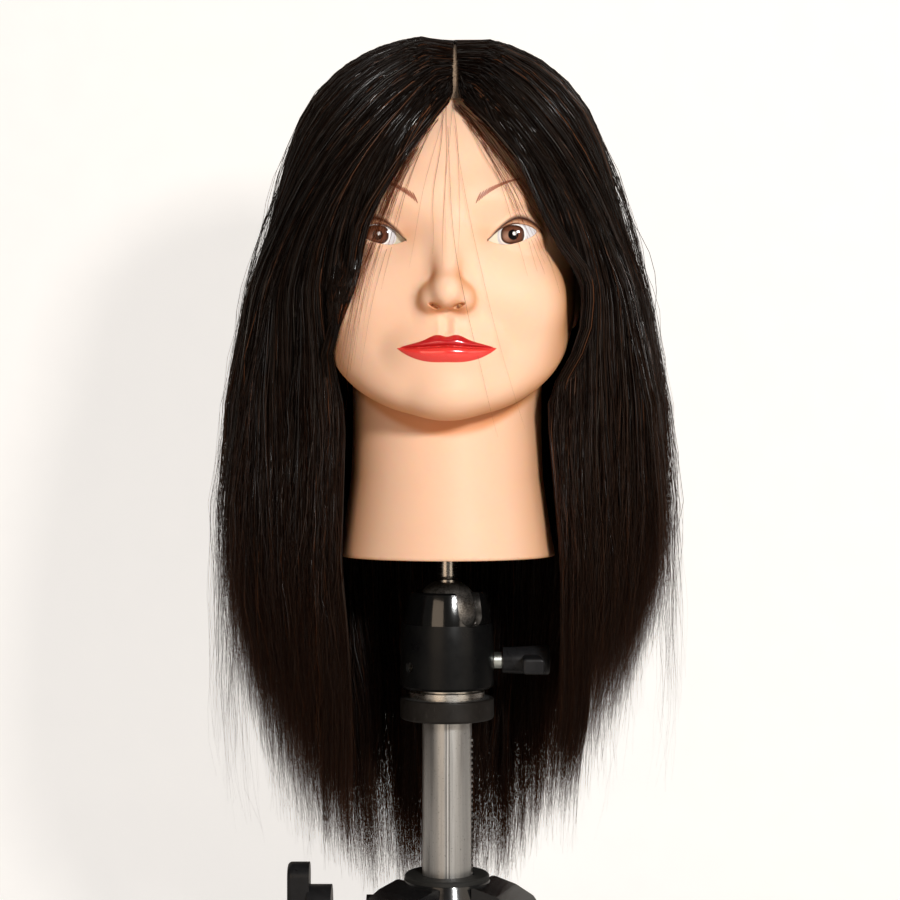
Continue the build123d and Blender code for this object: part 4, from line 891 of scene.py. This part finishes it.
def keep_off_head(paths):
    """Pushes points that have sunk into the head or neck back out to just above it."""
    flat = paths.reshape(-1, 3)
    x, y, z = flat.T
    y = np.where((y < 10) & (z > 312) & (z < 455), np.minimum(y, face_front(x, z) - 1.8), y)
    flat = np.stack([x, y, z], 1)
    cx, cy, cz = CRANIUM[0]
    d = ellipsoid(x, y, z, *CRANIUM)
    for centre, semi in (LOWER_FACE, ((69, 12, 385), (8, 16, 29))):
        d = np.minimum(d, ellipsoid(np.abs(x) if centre[0] else x, y, z, centre, semi))
    d = np.minimum(d, jaw_distance(np.abs(x), y, z))
    lift = np.where(z > NECK_BOTTOM - 5, np.maximum(2.0 - d, 0), 0)
    ahead = smoothstep((-10 - y) / 20)
    direction = np.stack([(x - cx) * (1 - 0.8 * ahead), (y - cy), np.where(z > cz, z - cz, 0)], 1)
    direction /= np.linalg.norm(direction, axis=1, keepdims=True) + 1e-9
    return (flat + direction * lift[:, None]).reshape(paths.shape)


def tip_height(out_x, degrees, side, lock_share, n):
    """Where strands end: in ragged locks, higher further out and in front, and thinning out evenly."""
    lowest = np.interp(out_x, TIP_X, TIP_LEFT if side < 0 else TIP_RIGHT)
    front = smoothstep((66 - degrees) / 26)
    back = smoothstep((degrees - 110) / 50)
    share = 0.7 * rng.random(n) + 0.3 * lock_share
    reach = 150 - 30 * back + 12 * np.sin(37 * lock_share)
    return np.clip(lowest + 30 * front + reach * share ** (0.7 + 0.7 * back), 32, 238)


def outward_of(paths):
    """Direction away from the head's axis, tipping up over the crown."""
    out = paths - np.array([0, 8, 400.0])
    out[:, :, 2] = np.where(paths[:, :, 2] > 412, paths[:, :, 2] - 412, 0)
    return out / (np.linalg.norm(out, axis=2, keepdims=True) + 1e-9)


def place_strands(name, paths, split, width, node=None):
    """An upper and a lower mesh of the strands, cut where they split; a named CAD part is hidden."""
    n = len(paths)
    length = np.cumsum(np.linalg.norm(np.diff(paths, axis=1), axis=2), 1)
    along = np.concatenate([np.zeros((n, 1)), length / length[:, -1:]], 1)
    widths = width * (0.75 + 0.5 * rng.random((n, 1))) * (1 - 0.85 * smoothstep((along - 0.6) / 0.4))
    strips, across = ribbons(paths, widths, outward_of(paths), rng.normal(0, 0.6, n))
    tint = rng.random(n)
    roots, rest = slice(None, split + 1), slice(split, None)
    top = strand_mesh(f"{name}_upper", strips[:, roots], across[:, roots], tint, along[:, roots], HAIR)
    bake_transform(top)
    if node:
        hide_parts(node)
    ends = strand_mesh(f"{name}_lower", strips[:, rest], across[:, rest], tint, along[:, rest], HAIR)
    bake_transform(ends)


def grow_hair():
    sectors = (
        # name, from and to degrees round from the front, strands, steps from the head's widest to the split
        ("front", 27, 52, 5200, 8), ("temple", 50, 74, 5200, 8), ("side", 72, 106, 6500, 4),
        ("rear", 104, 144, 6500, 4), ("back", 140, 181, 6500, 4),
    )
    for side, hand in ((-1, "left"), (1, "right")):
        for part, low, high, count, drop in sectors:
            paths, split = strand_paths(count, side, low, high, drop)
            node = {"front": f"hair_{hand}", "back": "hair_back"}.get(part)
            place_strands(f"hair_{hand}_{part}", paths, split, HAIR_WIDTH, node)


grow_hair()


def bezier(points, count):
    """Points of a quadratic curve for each row of three control points (n, 3, k): (n, count, k)."""
    t = np.linspace(0, 1, count)[None, :, None]
    a, b, c = points[:, 0:1], points[:, 1:2], points[:, 2:3]
    return (1 - t) ** 2 * a + 2 * t * (1 - t) * b + t * t * c


def face_wisps():
    """Fine loose hairs that lie over the face from the parting, most of them on the left."""
    groups = (
        # count, then start, middle and end as (x, z), and how far each may stray
        (5, (-1, 466), (-15, 432), (-24, 372), (1.5, 5, 8)),
        (22, (-8, 458), (-33, 423), (-48, 354), (4, 3, 4)),
        (38, (-18, 442), (-41, 405), (-55, 348), (3, 2.5, 3)),
        (20, (6, 465), (24, 442), (41, 410), (1.5, 2, 3)),
        (26, (14, 457), (37, 429), (54, 396), (3, 2, 3)),
        (2, (3, 455), (10, 385), (36, 296), (2, 5, 6)),
        (3, (0, 466), (-2, 430), (-4, 384), (2, 6, 7)),
    )
    steps = 22
    curves = []
    for count, start, middle, end, stray in groups:
        points = np.tile(np.array([start, middle, end], float), (count, 1, 1))
        shift = rng.normal(0, 1, (count, 1)) + rng.normal(0, 0.15, (count, 3))
        points[:, :, 0] += shift * np.array(stray)
        points[:, :, 1] += rng.normal(0, 1, (count, 3)) * np.array([1.0, 5.0, 14.0])
        curves.append(bezier(points, steps))
    flat = np.concatenate(curves)
    n = len(flat)
    wave = rng.normal(0, 0.5, (n, 1)) * np.sin(np.linspace(0, 9, steps)[None, :] + rng.random((n, 1)) * 6)
    x = flat[:, :, 0] + wave
    z = np.minimum(flat[:, :, 1], 467)
    # y stays in front of the head even where the curve has left the face
    y = np.minimum(on_face(x, np.maximum(z, 318)), -20) - 0.5 - 1.6 * rng.random((n, 1))
    paths = np.stack([x, y, z], 2)
    along = np.tile(np.linspace(0, 1, steps), (n, 1))
    widths = WISP_WIDTH * (0.7 + 0.6 * rng.random((n, 1))) * (1 - 0.7 * along**3)
    out = np.tile(np.array([0.0, -1.0, 0.0]), (n, steps, 1))
    strips, across = ribbons(paths, widths, out, rng.normal(0, 0.3, n))
    tint = rng.random(n)
    wisps = strand_mesh("hair_face_wisps", strips, across, tint, along, WISP_HAIR)
    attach(wisps, "head")


def grow_strays():
    """A few hairs that lift off the outside of the fall and curl away at their ends."""
    count = 700
    for side, hand in ((-1, "left"), (1, "right")):
        paths, split = strand_paths(count, side, 60, 180)
        z = paths[:, :, 2]
        out = paths[:, :, :2] - np.array([0, 8.0])
        out /= np.linalg.norm(out, axis=2, keepdims=True)
        size = np.hypot(paths[:, :, 0], (paths[:, :, 1] - 8) * 1.16)
        outer = np.interp(z, FALL_Z, FALL_WIDE)
        lift = np.clip((500 - z) / 60, 0, 1) * np.maximum(outer - size - 1, 0)
        curl = np.abs(rng.normal(0, 1, (count, 1))) * 7 * np.clip((420 - z) / 300, 0, 1) ** 1.5
        waver = rng.normal(0, 1.6, (count, 1)) * np.sin(z / 19 + rng.random((count, 1)) * 6)
        away = lift + np.minimum(curl, 7.5) + waver * np.clip((480 - z) / 80, 0, 1)
        paths[:, :, :2] += out * away[:, :, None]
        place_strands(f"hair_{hand}_strays", paths, split, STRAY_WIDTH)


face_wisps()
grow_strays()


# ------------------------------ the scalp
def paint_scalp():
    """Tan scalp with dark dots where the hair is rooted."""
    g = Graph("rooted_scalp")
    dots = g.node("ShaderNodeTexVoronoi", {"Vector": g.coords(), "Scale": 620.0}).outputs["Distance"]
    base = g.mix(g.grey(g.noise(120, 4), 0, 1), (0.24, 0.16, 0.105), (0.46, 0.33, 0.22))
    g.set(Base_Color=g.mix(g.grey(dots, 1, 0, 0.1, 0.35), base, (0.05, 0.035, 0.025)), Roughness=0.65)
    g.set(Normal=g.bump(dots, 0.5, 0.0005))
    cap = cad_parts["scalp_cap"].data
    cap.materials.clear()
    cap.materials.append(g.material)


paint_scalp()


# ------------------------------ stage, lights and camera
def backdrop():
    """A pale floor that sweeps up into a wall, and a plain block under the crown."""
    floor_z, wall_y, bend, reach = -0.075, 0.4, 0.12, 3.0
    profile = [(-reach, floor_z)]
    for i in range(17):
        a = i / 16 * math.pi / 2
        profile.append((wall_y - bend + bend * math.sin(a), floor_z + bend - bend * math.cos(a)))
    profile.append((wall_y, reach))
    vertices = [(x, y, z) for y, z in profile for x in (-reach, reach)]
    faces = [(2 * i, 2 * i + 1, 2 * i + 3, 2 * i + 2) for i in range(len(profile) - 1)]
    sweep = mesh_object("sweep", np.array(vertices) / MM, faces)
    g = Graph("pale_paper")
    speck = g.noise(40, 3)
    g.set(Base_Color=g.mix(g.grey(speck, 0, 1), (0.5, 0.47, 0.435), (0.53, 0.5, 0.465)), Roughness=0.9)
    seen = g.node("ShaderNodeLightPath").outputs["Is Camera Ray"]
    g.set(Emission_Color=(1.0, 0.985, 0.965, 1), Emission_Strength=g.grey(seen, 0.12, 0.7, 0, 1))
    # from behind the sweep is clear, so that it never hides the object
    behind = g.node("ShaderNodeNewGeometry").outputs["Backfacing"]
    g.cover(behind, g.node("ShaderNodeBsdfTransparent"))
    sweep.data.materials.append(g.material)
    # the block is a tube that the column passes down through
    inner, outer, below_crown, n = 0.0195, 0.045, -0.0006, 64
    turns = np.linspace(0, 2 * math.pi, n + 1)[:-1]
    ring = [(r * math.cos(a), r * math.sin(a)) for r in (inner, outer) for a in turns]
    vertices = [(x, y, z) for z in (floor_z, below_crown) for x, y in ring]
    faces = []
    for i in range(n):
        j = (i + 1) % n
        faces.append((i, j, 2 * n + j, 2 * n + i))
        faces.append((n + j, n + i, 3 * n + i, 3 * n + j))
        faces.append((2 * n + i, 2 * n + j, 3 * n + j, 3 * n + i))
    block = mesh_object("block", np.array(vertices) / MM, faces, smooth=False)
    block.data.materials.append(plastic("pale_block", (0.6, 0.58, 0.55), 0.8))


def area_light(name, place, aim, size, power, colour):
    data = bpy.data.lights.new(name, "AREA")
    data.shape = "RECTANGLE"
    data.size, data.size_y = size
    data.energy = power
    data.color = colour
    lamp = add_object(name, data)
    lamp.location = place
    lamp.rotation_euler = (Vector(aim) - Vector(place)).to_track_quat("-Z", "Y").to_euler()


backdrop()
area_light("key", (0.38, -1.02, 0.6), (0, 0, 0.36), (0.13, 0.13), 9.4, (1.0, 0.99, 0.97))
area_light("fill", (-0.55, -1.2, 0.38), (0, 0, 0.33), (0.7, 0.7), 2.7, (1.0, 0.78, 0.58))
area_light("side", (0.85, -0.8, 0.4), (0, 0, 0.33), (0.6, 0.6), 1.6, (1.0, 0.86, 0.7))
area_light("top", (0.0, -0.1, 1.3), (0, 0, 0.4), (0.7, 0.7), 0.9, (1.0, 0.95, 0.9))


def light_room():
    """The room lights the object a little and warmly, and looks pale behind it."""
    world = bpy.data.worlds.new("room")
    bpy.context.scene.world = world
    world.use_nodes = True
    background = world.node_tree.nodes["Background"]
    background.inputs["Strength"].default_value = 1.0
    room = world.node_tree.nodes.new("ShaderNodeMix")
    room.data_type = "RGBA"
    room.inputs[6].default_value = (0.07, 0.063, 0.055, 1)
    room.inputs[7].default_value = (0.86, 0.85, 0.84, 1)
    path = world.node_tree.nodes.new("ShaderNodeLightPath")
    world.node_tree.links.new(path.outputs["Is Camera Ray"], room.inputs["Factor"])
    world.node_tree.links.new(room.outputs[2], background.inputs["Color"])
    bpy.context.scene.view_settings.view_transform = "Standard"


def place_camera():
    """Level, in front of the column's axis."""
    distance, half_width, height, sensor = 1.05, 0.2459, 0.29, 36
    data = bpy.data.cameras.new("camera")
    data.sensor_width = sensor
    data.lens = sensor / 2 * distance / half_width
    camera = add_object("camera", data)
    camera.location = (0.0016, -distance, height)
    camera.rotation_euler = (math.radians(90), 0, 0)
    bpy.context.scene.camera = camera


light_room()
place_camera()
